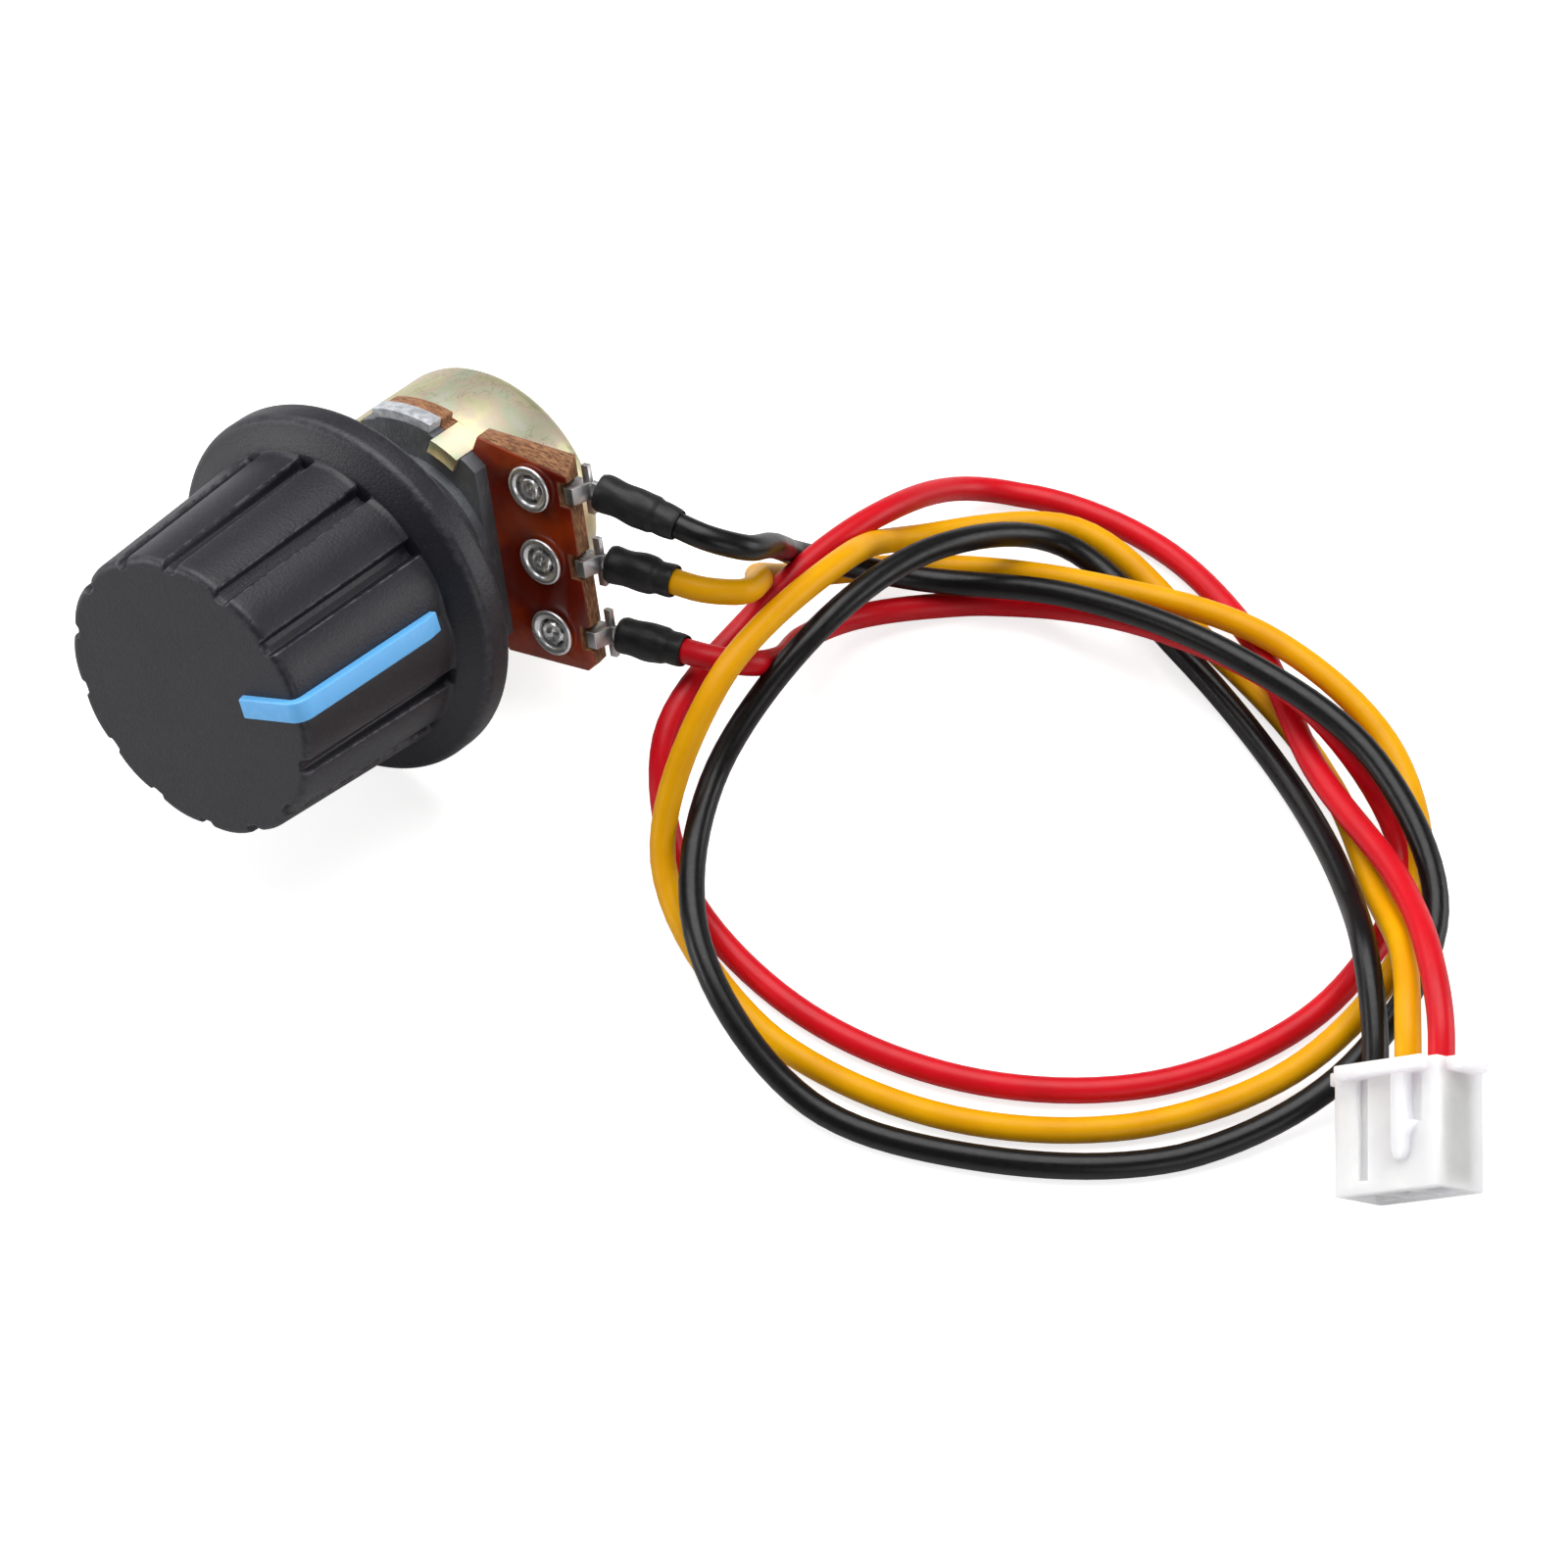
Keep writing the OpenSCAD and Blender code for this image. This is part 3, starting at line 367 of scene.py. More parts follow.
def fill_wear(tree, given, out):
    """Rubbed edges, on the knob also a painted highlight: the places that the piece's bend attribute
    marks, broken up by noise.
    """
    curve = node(tree, "ShaderNodeAttribute", attribute_name="bend").outputs["Fac"]
    broken = noise(tree, aside(tree, given["Vector"]), given["Scale"], detail=5.0)
    mask = times(tree, ramp(tree, curve, 0.505, 0.56), ramp(tree, broken, 0.42, 0.6))
    worn = math_node(tree, "MULTIPLY", mask, given["Amount"], clamp=True)
    tree.links.new(mix(tree, worn, given["Colour"], given["Worn colour"]), out["Colour"])


GRAIN = group("skin_grain", {"Vector": (VECTOR, None), "Scale": (FLOAT, 6.0)},
              {"Height": FLOAT, "Broad": FLOAT, "Specks": FLOAT}, fill_grain)
SCRATCHES = group("hair_scratches", {"Vector": (VECTOR, None), "Stretch": (VECTOR, (0.2, 6.0, 6.0))},
                  {"Mask": FLOAT, "Lines": FLOAT}, fill_scratches)
WEAR = group("rubbed_edges",
             {"Vector": (VECTOR, None), "Scale": (FLOAT, 3.0), "Amount": (FLOAT, 0.5),
              "Colour": (COLOUR, (0.5, 0.5, 0.5, 1)), "Worn colour": (COLOUR, (0.8, 0.8, 0.8, 1))},
             {"Colour": COLOUR}, fill_wear)


def grain_on(tree, own, scale):
    return node(tree, "ShaderNodeGroup", {"Vector": own, "Scale": scale}, node_tree=GRAIN).outputs


def scratches_on(tree, own, stretch):
    return node(tree, "ShaderNodeGroup", {"Vector": own, "Stretch": stretch},
                node_tree=SCRATCHES).outputs


def rubbed(tree, own, scale, amount, colour, worn_colour):
    """The colour, with the worn one on the piece's edges, which on the knob is also a painted highlight.
    """
    return node(tree, "ShaderNodeGroup", {
        "Vector": own, "Scale": scale, "Amount": amount, "Colour": colour,
        "Worn colour": worn_colour}, node_tree=WEAR).outputs["Colour"]


def rgb(*seen):
    """Linear colour from the 0 to 255 values that the eye reads off a screen."""
    return (*(((c / 255 + 0.055) / 1.055) ** 2.4 if c > 10 else c / 255 / 12.92 for c in seen), 1.0)


def finish_with(name, shader_values, build):
    """Material with one Principled shader; build(tree, own, shader) wires its pattern. own is the
    piece's own place in millimetres."""
    made = bpy.data.materials.new(name)
    made.use_nodes = True
    tree = made.node_tree
    shader = tree.nodes["Principled BSDF"]
    for key, value in shader_values.items():
        shader.inputs[key].default_value = value
    own = node(tree, "ShaderNodeAttribute", attribute_name="own").outputs["Vector"]
    build(tree, own, shader)
    return made


def paint(tree, shader, colour):
    tree.links.new(colour, shader.inputs["Base Color"])


def roughen(tree, shader, value, low, high, start=0.0, end=1.0):
    """Roughness from low to high as the value goes from start to end."""
    spread = node(tree, "ShaderNodeMapRange", {
        "Value": value, "From Min": start, "From Max": end, "To Min": low, "To Max": high})
    tree.links.new(spread.outputs["Result"], shader.inputs["Roughness"])


def bump(tree, shader, height, strength, distance):
    made = node(tree, "ShaderNodeBump", {
        "Height": height, "Strength": strength, "Distance": distance * MM})
    tree.links.new(made.outputs["Normal"], shader.inputs["Normal"])


def moulded(name, colour, worn_colour, roughness, scale=7.0, grain=0.25, wear=0.35, depth=0.02,
            drift=0.82, dust=0.25, **shader_values):
    """Moulded plastic: fine skin grain, a broad drift of shade, light specks and rubbed edges; on the
    knob the lighter edges are also a painted highlight.
    """
    darker = (*(c * drift for c in colour[:3]), 1.0)

    def build(tree, own, shader):
        skin = grain_on(tree, own, scale)
        shade = mix(tree, skin["Broad"], darker, colour)
        worn = rubbed(tree, own, 2.0, wear, shade, worn_colour)
        paint(tree, shader, mix(tree, times(tree, skin["Specks"], dust), worn, worn_colour))
        roughen(tree, shader, skin["Height"], roughness - 0.07, roughness + 0.09)
        bump(tree, shader, skin["Height"], grain, depth)
    return finish_with(name, shader_values, build)


def metal(name, colour, tarnish, roughness, stretch=(0.3, 5.0, 5.0), scratch=0.6, wear=0.5,
          grain=0.2, **shader_values):
    """Worked metal: tarnish drifting over the surface, hairline scratches and bright edges."""
    bright = (*(min(1.0, c * 1.35) for c in colour[:3]), 1.0)

    def build(tree, own, shader):
        skin = grain_on(tree, own, 3.0)
        lines = scratches_on(tree, own, stretch)
        base = mix(tree, skin["Broad"], tarnish, colour)
        marked = mix(tree, times(tree, lines["Mask"], scratch), base, bright)
        paint(tree, shader, rubbed(tree, own, 4.0, wear, marked, bright))
        roughen(tree, shader, lines["Lines"], roughness - 0.08, roughness + 0.12, start=0.3, end=0.7)
        height = math_node(tree, "ADD", times(tree, skin["Height"], 0.5),
                           times(tree, lines["Lines"], 0.6))
        bump(tree, shader, height, grain, 0.02)
    return finish_with(name, {"Metallic": 1.0, **shader_values}, build)


# Colours
# The knob's worn colour lightens its outward edges: partly real rubbing, partly a painted highlight
# along the lobes' edges.
KNOB_GREY, KNOB_WORN_AND_HIGHLIGHT = rgb(25, 23, 31), rgb(92, 90, 99)
POINTER_BLUE, POINTER_WORN = rgb(98, 176, 236), rgb(158, 208, 244)
BLACK_PVC, YELLOW_PVC, RED_PVC = rgb(12, 10, 12), rgb(222, 160, 0), rgb(204, 6, 26)
NYLON = rgb(240, 239, 247)
CAN_DRIFT = (
    (0.3, rgb(188, 184, 160)), (0.4, rgb(204, 200, 164)), (0.48, rgb(212, 206, 168)),
    (0.55, rgb(208, 193, 172)), (0.63, rgb(192, 196, 168)), (0.72, rgb(198, 195, 182)))
PLATE_SCUFF = rgb(150, 153, 158)

# Painted highlight: the strong wear on the knob's edges stands partly for rubbing and partly for the
# light that a rounded lobe edge would catch.
knob_skin = moulded("knob_skin", KNOB_GREY, KNOB_WORN_AND_HIGHLIGHT, 0.44, scale=5.5, grain=0.6, wear=0.8,
                    depth=0.04, **{"Specular IOR Level": 0.42})
pointer_skin = moulded("pointer_skin", POINTER_BLUE, POINTER_WORN, 0.4, scale=6.0, grain=0.15,
                       wear=0.1, drift=0.97, dust=0.06)
rotor_skin = moulded("rotor_skin", rgb(226, 221, 205), rgb(240, 238, 230), 0.45, scale=6.0)
shaft_metal = metal("shaft_metal", rgb(205, 207, 211), rgb(160, 163, 168), 0.28, stretch=(6.0, 6.0, 0.3))
clip_steel = metal("clip_steel", rgb(120, 122, 126), rgb(70, 70, 72), 0.38)
nut_zinc = metal("nut_zinc", rgb(214, 198, 140), rgb(176, 150, 96), 0.3)
washer_zinc = metal("washer_zinc", rgb(206, 208, 210), rgb(160, 162, 166), 0.3)
terminal_tin = metal("terminal_tin", rgb(206, 206, 208), rgb(164, 160, 158), 0.4, scratch=0.4,
                     wear=0.6, grain=0.1)
eyelet_tin = metal("eyelet_tin", rgb(226, 226, 228), rgb(214, 213, 212), 0.3, scratch=0.2,
                   grain=0.02, Metallic=0.9)
solder_tin = metal("solder_tin", rgb(170, 172, 174), rgb(120, 120, 122), 0.35)
wiper_brass = metal("wiper_brass", rgb(206, 168, 92), rgb(160, 120, 60), 0.3)
contact_tin = metal("contact_tin", rgb(196, 197, 192), rgb(150, 148, 140), 0.3)
silver_ink = metal("silver_ink", rgb(190, 192, 194), rgb(150, 150, 150), 0.45)
carbon_ink = moulded("carbon_ink", rgb(34, 34, 36), rgb(60, 60, 62), 0.55)


def paint_can(tree, own, shader):
    """Yellow zinc over steel: pale gold drifting to pink, green and grey, with long scratches."""
    skin = grain_on(tree, own, 3.0)
    lines = scratches_on(tree, own, (1.2, 0.3, 0.5))
    drift = noise(tree, aside(tree, own), 0.3, detail=3.0)
    bands = node(tree, "ShaderNodeValToRGB", {"Fac": drift})
    stops = bands.color_ramp.elements
    stops[0].position, stops[0].color = CAN_DRIFT[0]
    stops[1].position, stops[1].color = CAN_DRIFT[-1]
    for place, colour in CAN_DRIFT[1:-1]:
        stops.new(place).color = colour
    scratched = mix(tree, times(tree, lines["Mask"], 0.45), bands.outputs["Color"], rgb(112, 104, 74))
    dirt = mix(tree, times(tree, skin["Specks"], 0.15), scratched, rgb(150, 138, 104))
    paint(tree, shader, rubbed(tree, own, 2.0, 0.3, dirt, rgb(226, 222, 200)))
    roughen(tree, shader, drift, 0.4, 0.55, start=0.3, end=0.7)
    bump(tree, shader, skin["Broad"], 0.06, 0.02)


EAR_INNER_R, EAR_OUTER_R = 8.26, 8.4


def paint_plate(tree, own, shader):
    """Die-cast zinc alloy: dark grey with light scuffs; the ears' outer sides are rubbed bright."""
    place = node(tree, "ShaderNodeSeparateXYZ", {"Vector": own}).outputs
    squares = [times(tree, place[axis], place[axis]) for axis in ("X", "Y")]
    radius = math_node(tree, "SQRT", math_node(tree, "ADD", *squares))
    skin = grain_on(tree, own, 2.5)
    lines = scratches_on(tree, own, (3.0, 0.6, 3.0))
    face = mix(tree, skin["Broad"], rgb(78, 80, 84), rgb(92, 94, 98))
    face = mix(tree, times(tree, lines["Mask"], 0.5), face, PLATE_SCUFF)
    side = mix(tree, ramp(tree, skin["Height"], 0.3, 0.7), PLATE_SCUFF, rgb(196, 199, 204))
    both = mix(tree, ramp(tree, radius, EAR_INNER_R, EAR_OUTER_R), face, side)
    paint(tree, shader, rubbed(tree, own, 1.5, 0.5, both, rgb(190, 193, 198)))
    roughen(tree, shader, skin["Broad"], 0.42, 0.55)
    bump(tree, shader, skin["Height"], 0.12, 0.02)


BOARD_MIDDLE, BOARD_SKIN = -2.4, 0.54


def paint_board(tree, own, shader):
    """Phenolic paper board: glossy red-brown faces, rough tan layers on the cut edges."""
    height = node(tree, "ShaderNodeSeparateXYZ", {"Vector": own}).outputs["Z"]
    depth = math_node(tree, "ABSOLUTE", math_node(tree, "SUBTRACT", height, BOARD_MIDDLE))
    edge = math_node(tree, "SUBTRACT", 1.0, ramp(tree, depth, BOARD_SKIN - 0.05, BOARD_SKIN + 0.02))
    fibres = noise(tree, vector_node(tree, "MULTIPLY", own, (1.2, 1.2, 9.0)), 1.6, detail=6.0,
                   roughness=0.7)
    skin = grain_on(tree, own, 3.0)
    face = mix(tree, skin["Broad"], rgb(96, 20, 4), rgb(156, 54, 12))
    face = mix(tree, times(tree, skin["Specks"], 0.2), face, rgb(176, 96, 56))
    cut = mix(tree, ramp(tree, fibres, 0.38, 0.62), rgb(92, 46, 20), rgb(168, 120, 78))
    paint(tree, shader, mix(tree, edge, face, cut))
    roughen(tree, shader, edge, 0.28, 0.75)
    bump(tree, shader, times(tree, fibres, math_node(tree, "ADD", edge, 0.12)), 0.8, 0.08)


def paint_shrink(tree, own, shader):
    """Shrink tube: matt black with faint lengthwise creases, darker in their hollows as painted shade,
    and dusty high spots.
    """
    folds_and_painted_shade = noise(tree, vector_node(tree, "MULTIPLY", own, (2.2, 2.2, 0.5)), 1.0, detail=3.0)
    skin = grain_on(tree, own, 9.0)
    # Painted shade: the fold noise that dents the tube also darkens its colour, so the creases' hollows
    # are painted darker.
    shade = mix(tree, ramp(tree, folds_and_painted_shade, 0.35, 0.7), rgb(11, 10, 12), rgb(22, 21, 23))
    paint(tree, shader, mix(tree, times(tree, skin["Specks"], 0.15), shade, rgb(80, 78, 82)))
    roughen(tree, shader, skin["Height"], 0.38, 0.62)
    bump(tree, shader, math_node(tree, "ADD", folds_and_painted_shade, times(tree, skin["Height"], 0.2)), 0.5, 0.08)


def cable_plastic(name, colour, shade, roughness, **shader_values):
    """Extruded lead skin: faint lines along its length, slow drift of shade, scuffs."""
    pale = (*(min(1.0, c * 1.25 + 0.02) for c in colour[:3]), 1.0)

    def build(tree, own, shader):
        lines = noise(tree, vector_node(tree, "MULTIPLY", own, (0.05, 3.0, 1.0)), 2.0, detail=3.0)
        drift = noise(tree, own, 0.25, detail=3.0)
        scuff = noise(tree, own, 2.5, detail=6.0, roughness=0.8)
        base = mix(tree, ramp(tree, drift, 0.3, 0.7), shade, colour)
        paint(tree, shader, mix(tree, times(tree, ramp(tree, scuff, 0.62, 0.75), 0.35), base, pale))
        roughen(tree, shader, scuff, roughness - 0.06, roughness + 0.12, start=0.3, end=0.7)
        bump(tree, shader, lines, 0.25, 0.03)
    return finish_with(name, shader_values, build)


def paint_nylon(tree, own, shader):
    """Natural nylon: milky white, with fine moulded grain and a faint drift of shade."""
    skin = grain_on(tree, own, 5.0)
    shade = mix(tree, skin["Broad"], rgb(232, 231, 241), NYLON)
    paint(tree, shader, mix(tree, times(tree, skin["Specks"], 0.3), shade, rgb(218, 216, 226)))
    roughen(tree, shader, skin["Height"], 0.3, 0.46)
    bump(tree, shader, skin["Height"], 0.2, 0.03)


can_zinc = finish_with("can_zinc", {"Metallic": 1.0}, paint_can)
plate_cast = finish_with("plate_cast", {"Metallic": 0.3}, paint_plate)
board_paper = finish_with("board_paper", {"Coat Weight": 0.1, "Coat Roughness": 0.2}, paint_board)
shrink_tube = finish_with("shrink_tube", {"Specular IOR Level": 0.35}, paint_shrink)
lead_skin = {
    "black": cable_plastic("lead_black_skin", BLACK_PVC, rgb(9, 8, 10), 0.3,
                           **{"Specular IOR Level": 0.3}),
    "yellow": cable_plastic("lead_yellow_skin", YELLOW_PVC, rgb(212, 148, 0), 0.36,
                            **{"Specular IOR Level": 0.15, "Subsurface Weight": 0.15,
                               "Subsurface Radius": (0.0006, 0.0004, 0.0001)}),
    "red": cable_plastic("lead_red_skin", RED_PVC, rgb(190, 6, 24), 0.36,
                         **{"Specular IOR Level": 0.25, "Subsurface Weight": 0.1,
                            "Subsurface Radius": (0.0006, 0.0001, 0.0001)}),
}
nylon = finish_with("nylon", {"Subsurface Weight": 1.0, "Subsurface Radius": (0.004, 0.004, 0.0043),
                              "Subsurface Scale": 1.0, "IOR": 1.53}, paint_nylon)

# Leads
WIRE_R = 0.8
TABLE_GAP = 0.01
STRAIGHT_RUN, LEAD_IN = 2, 0.5
SLEEVE_X, SLEEVE_BACK, STRIP_MID = 13.4, math.radians(10), -3.175
PIN_PITCH, WAY_PITCH = 5.0, 2.5
COLOURS = ("black", "yellow", "red")
WAY_PLACES = (1, 0, -1)
SLEEVE_TURNS = [math.radians(a) for a in (-19, -9, -7)]
SLEEVE_LONG = [4.4 * share for share in (1.23, 1, 1)]
ROUTES = {
    "black": [
        [16.5, 14, 17], [16.5, 16.5, 14.6], [15.5, 19, 11], [14.5, 22, 6.5], [19.5, 27, 2.8],
        [29.5, 31, 4.6], [40.5, 32, 6.5], [52, 31, 6], [60.5, 25, 4.4], [62, 14, 2.4],
        [57, 3.5, 0.8], [48, -3.5, 0.8], [37.5, -7, 1.2], [27, -4, 4.6], [20.5, 5.5, 5.4],
        [20.5, 16, 9.6], [22, 27, 8], [26, 35, 3], [36.5, 33.5, 1.4], [47, 29.5, 1.2],
        [55.5, 23, 4.2], [59.5, 18.5, 6.5]],
    "yellow": [
        [17, 13, 14], [16.5, 15.5, 12], [14.5, 18, 8.4], [14, 22, 3.8], [19, 29, 1.4],
        [30, 33, 4], [41, 36, 4.2], [52, 33.5, 3.8], [59.5, 24.5, 3], [59.5, 13, 1.8],
        [53.5, 3.5, 0.8], [43.5, -3, 0.8], [32, -4.5, 0.9], [21, 0, 3.8], [19, 8, 11.5],
        [19, 20, 11], [18.5, 29.5, 3.6], [25.5, 37, 2.2], [37, 35.5, 0.8], [48.5, 31.5, 0.8],
        [57, 24, 4], [61.5, 19.5, 6.8]],
    "red": [
        [18.5, 11.5, 9.6], [19, 14, 7.6], [18, 18, 4.7], [18.5, 23, 2], [24.5, 30, 0.8],
        [35.5, 32.5, 4.2], [47, 32.5, 4.8], [56, 29, 0.8], [58, 18, 0.8], [53.5, 7.5, 0.8],
        [44.5, 0.5, 0.8], [33.5, -2, 0.8], [22.5, 0.5, 0.8], [16.5, 6, 6], [16, 15.5, 8],
        [17, 27, 7.2], [19, 37, 1.2], [29, 40, 0.8], [39.5, 36.5, 2.4], [48.5, 30, 3.4],
        [58.5, 24, 6.4], [63, 19.5, 8.8]],
}


def sleeve_axis(i):
    """Direction of a sleeve in the dial frame."""
    return np.array([math.cos(SLEEVE_BACK) * math.cos(SLEEVE_TURNS[i]),
                     math.cos(SLEEVE_BACK) * math.sin(SLEEVE_TURNS[i]), -math.sin(SLEEVE_BACK)])


def sleeve_root(i):
    return np.array([SLEEVE_X, WAY_PLACES[i] * PIN_PITCH, STRIP_MID])


def smooth_line(points, steps):
    """Curve through the points in mm: cubic pieces whose slope at a point is the mean of the
    slopes on both sides, weighted by their lengths. It stays just clear of the table."""
    p = np.asarray(points, float)
    p = np.vstack([2 * p[0] - p[1], p, 2 * p[-1] - p[-2]])
    gap = np.linalg.norm(np.diff(p, axis=0), axis=1)[:, None]
    slope = np.diff(p, axis=0) / gap
    tangent = (slope[:-1] * gap[1:] + slope[1:] * gap[:-1]) / (gap[:-1] + gap[1:])
    t = (np.arange(steps) / steps)[None, :, None]
    a, b, g = p[1:-2, None], p[2:-1, None], gap[1:-1, None]
    ta, tb = tangent[:-1, None] * g, tangent[1:, None] * g
    line = (1 - ease(t)) * a + (t**3 - 2 * t**2 + t) * ta + ease(t) * b + (t**3 - t**2) * tb
    line = np.vstack([line.reshape(-1, 3), p[-2]])
    line[:, 2] = np.maximum(line[:, 2], WIRE_R + TABLE_GAP)
    return line


def carried_sides(line):
    """Two side vectors along a line that turn with it as little as they can."""
    tangent = np.gradient(line, axis=0)
    tangent /= np.linalg.norm(tangent, axis=1)[:, None]
    side = np.empty_like(line)
    side[0] = np.cross(tangent[0], (0, 0, 1))
    side[0] /= np.linalg.norm(side[0])
    for k in range(1, len(line)):
        carried = side[k - 1] - tangent[k] * (side[k - 1] @ tangent[k])
        side[k] = carried / np.linalg.norm(carried)
    return side, np.cross(tangent, side)


def lead(i, steps=10, sides=20):
    """Lead: a circle of the wire's radius carried along its smooth line, flat at both ends."""
    colour = COLOURS[i]
    tip = SHIFT + (sleeve_root(i) + SLEEVE_LONG[i] * sleeve_axis(i)) @ DIAL.T
    out = sleeve_axis(i) @ DIAL.T
    way = PLUG_AT - WAY_PLACES[i] * WAY_PITCH * PLUG[:, 0]
    into = PLUG[:, 2]
    line = smooth_line([tip - LEAD_IN * out, tip + STRAIGHT_RUN * out, *ROUTES[colour],
                        way - STRAIGHT_RUN * into, way + LEAD_IN * into], steps)
    side, up = carried_sides(line)
    a = np.linspace(0, 2 * math.pi, sides, endpoint=False)[None, :, None]
    ring = line[:, None] + WIRE_R * (np.cos(a) * side[:, None] + np.sin(a) * up[:, None])
    run = np.concatenate([[0], np.cumsum(np.linalg.norm(np.diff(line, axis=0), axis=1))])
    parts = (run[:, None], np.cos(a[..., 0]), np.sin(a[..., 0]))
    own = np.stack([np.broadcast_to(part, ring.shape[:2]) for part in parts], -1)
    made = mesh_object(f"lead_{colour}_skin", ring.reshape(-1, 3) * MM,
                       grid_faces(len(line), sides) + caps(len(line), sides), own.reshape(-1, 3), 60)
    made.data.materials.append(lead_skin[colour])
    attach(made, "case")
    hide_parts(f"lead_{colour}")


# Plug
housing = copied("plug_housing", "plug_shell", 0.12, nylon, "case", "plug_nylon", plug_back, 3)
plug_contacts = [
    copied(f"contact_{c}", f"plug_contact_{c}", 0.04, contact_tin, "case", "contact_tin", plug_back)
    for c in COLOURS]
for i in range(3):
    lead(i)

# Sleeves and joints
SLEEVE_STEP, STEP_LONG = 0.72, 0.5
SLEEVE_WIDE_R, SLEEVE_DROP = 1.18, 0.15
SLEEVE_BORE_R = (0.92, 0.86, 0.82, 0.9)


def sleeve(i, rows=64, around=48):
    """Shrink sleeve: its radius along s is the wide end, a smooth step down at a share of the
    length, and a snug neck. It flattens towards the terminal and creases by two slow waves."""
    long = SLEEVE_LONG[i]
    step = SLEEVE_STEP * long
    s = np.linspace(0, long, rows)
    outer = SLEEVE_WIDE_R - SLEEVE_DROP * ease(np.clip((s - step) / STEP_LONG + 0.5, 0, 1))
    outer += 0.03 * np.sin(3.1 * s + i)
    # Both ends are rounded in a little.
    outer -= 0.1 * np.exp(-((s / 0.18) ** 2)) + 0.05 * np.exp(-(((long - s) / 0.1) ** 2))
    bore = np.interp(s, [0, 0.3, long - 0.4, long], SLEEVE_BORE_R)
    profile = np.vstack([np.column_stack([outer, s]), np.column_stack([bore, s])[::-1]])
    flat = np.clip(1 - profile[:, 1] / step, 0, 1)[:, None]
    outside = (np.arange(2 * rows) < rows)[:, None]

    def press(x, y, z, a):
        creases = 0.018 * np.sin(2 * a + 1.7 * z + i) + 0.012 * np.sin(5 * a - 2.3 * z + 2 * i)
        swell = 1 + outside * creases
        return x * swell * (1 - 0.07 * flat), y * swell * (1 + 0.02 * flat), z

    turn = turn_z(SLEEVE_TURNS[i]) @ turn_y(SLEEVE_BACK + math.pi / 2)
    made = turned(f"shrink_sleeve_{COLOURS[i]}", profile, around, True, press,
                  lambda p: dial(p @ turn.T + sleeve_root(i)), 50)
    fitted(made, shrink_tube, "case", f"sleeve_{COLOURS[i]}", slot="sleeve_shrink")


for i in range(3):
    sleeve(i)
copied("solder_joints", "solder_cores", 0.08, solder_tin, "case", "solder")
for c in COLOURS:
    copied(f"terminal_{c}", f"terminal_strip_{c}", 0.07, terminal_tin, "case", "terminal_tin")

EYELET_X = 9.2
EYELET_BARREL = [[0, -3.7], [0.65, -3.7], [1.3, -3.7], [1.35, -3.6], [1.3, -3.38], [0.93, -3.36],
                 [0.93, -1.8]]
EYELET_RIM = [[1.0, -1.77], [1.2, -1.76], [1.4, -1.73], [1.52, -1.65], [1.55, -1.56], [1.52, -1.48],
              [1.42, -1.42], [1.3, -1.42], [1.2, -1.46], [1.13, -1.53], [1.1, -1.57], [1.06, -1.62],
              [1.0, -1.65], [0.94, -1.66]]
EYELET_MIDDLE = [[0.92, -1.67], [0.8, -1.68], [0.76, -1.66], [0.73, -1.62], [0.69, -1.55],
                 [0.64, -1.51], [0.59, -1.52], [0.53, -1.57], [0.46, -1.61], [0.36, -1.63],
                 [0.2, -1.6], [0, -1.58]]
DENT_R, TORN_FROM_R, TORN_TO_R = 0.72, 0.74, 0.93
TEARS, TEAR_DEPTH, TEAR_SHARE, TEAR_EDGE = 4, 1.5, 0.5, 0.06


def eyelet(i, around=180):
    """Eyelet: a turned barrel whose head rolls over to a whole rim. Inside the rim the metal is
    torn in four arcs, and within these it rises to a ring and dips to an uneven middle."""
    profile = EYELET_BARREL + EYELET_RIM + EYELET_MIDDLE
    r = np.array(profile)[:, :1]
    in_middle = np.arange(len(profile))[:, None] >= len(profile) - len(EYELET_MIDDLE)
    torn = in_middle & (r > TORN_FROM_R) & (r < TORN_TO_R)
    dented = in_middle & (r < DENT_R)

    def split(x, y, z, a):
        place = (a * TEARS / (2 * math.pi) + 0.31 * i + 0.06 * np.sin(2 * a + i)) % 1
        tear = torn * np.clip((np.abs(place - 0.5) * 2 - TEAR_SHARE) / TEAR_EDGE, 0, 1)
        dent = dented * (0.04 * np.cos(a + 2 * i) + 0.03 * np.cos(3 * a + i))
        return x, y, z - TEAR_DEPTH * tear + dent

    centre = np.array([EYELET_X, WAY_PLACES[i] * PIN_PITCH, 0])
    made = turned(f"eyelet_{COLOURS[i]}", profile, around, False, split, lambda p: dial(p + centre), 45)
    fitted(made, eyelet_tin, "case", "eyelets", slot="eyelet_tin")


for i in range(3):
    eyelet(i)

# Case
copied("resistor_board", "brown_board", 0.06, board_paper, "case", "board_phenolic")
copied("carbon_track", "track_print", 0.01, carbon_ink, "case", "carbon_ink", steps=1)
copied("collector_ring", "ring_print", 0.01, silver_ink, "case", "silver_ink", steps=1)
copied("rear_can", "drawn_can", 0.08, can_zinc, "case", "can_steel", steps=3)

THREAD_R, THREAD_ROOT, THREAD_PITCH, BUSHING_LEN = 3.5, 3.08, 0.75, 7.0
THREAD_CORE, THREAD_START, RUN_IN, RUN_OUT = 3.04, 0.05, 0.4, 0.5
BUSHING_SIDE_MIN, BUSHING_SIDE_MAX = 3.2, 3.6


def thin_bushing(shared):
    """Draws the plain bushing in to the thread's root, so that the cut thread shows round it."""
    p = dial_back(shared)
    r = np.hypot(p[:, 0], p[:, 1])
    outside = (r > BUSHING_SIDE_MIN) & (r < BUSHING_SIDE_MAX) & (p[:, 2] > 0.0)
    p[outside, :2] *= (THREAD_ROOT / r[outside])[:, None]
    return dial(p)


copied("bushing_plate", "cast_plate", 0.1, plate_cast, "case", "plate_zinc", reshape=thin_bushing)


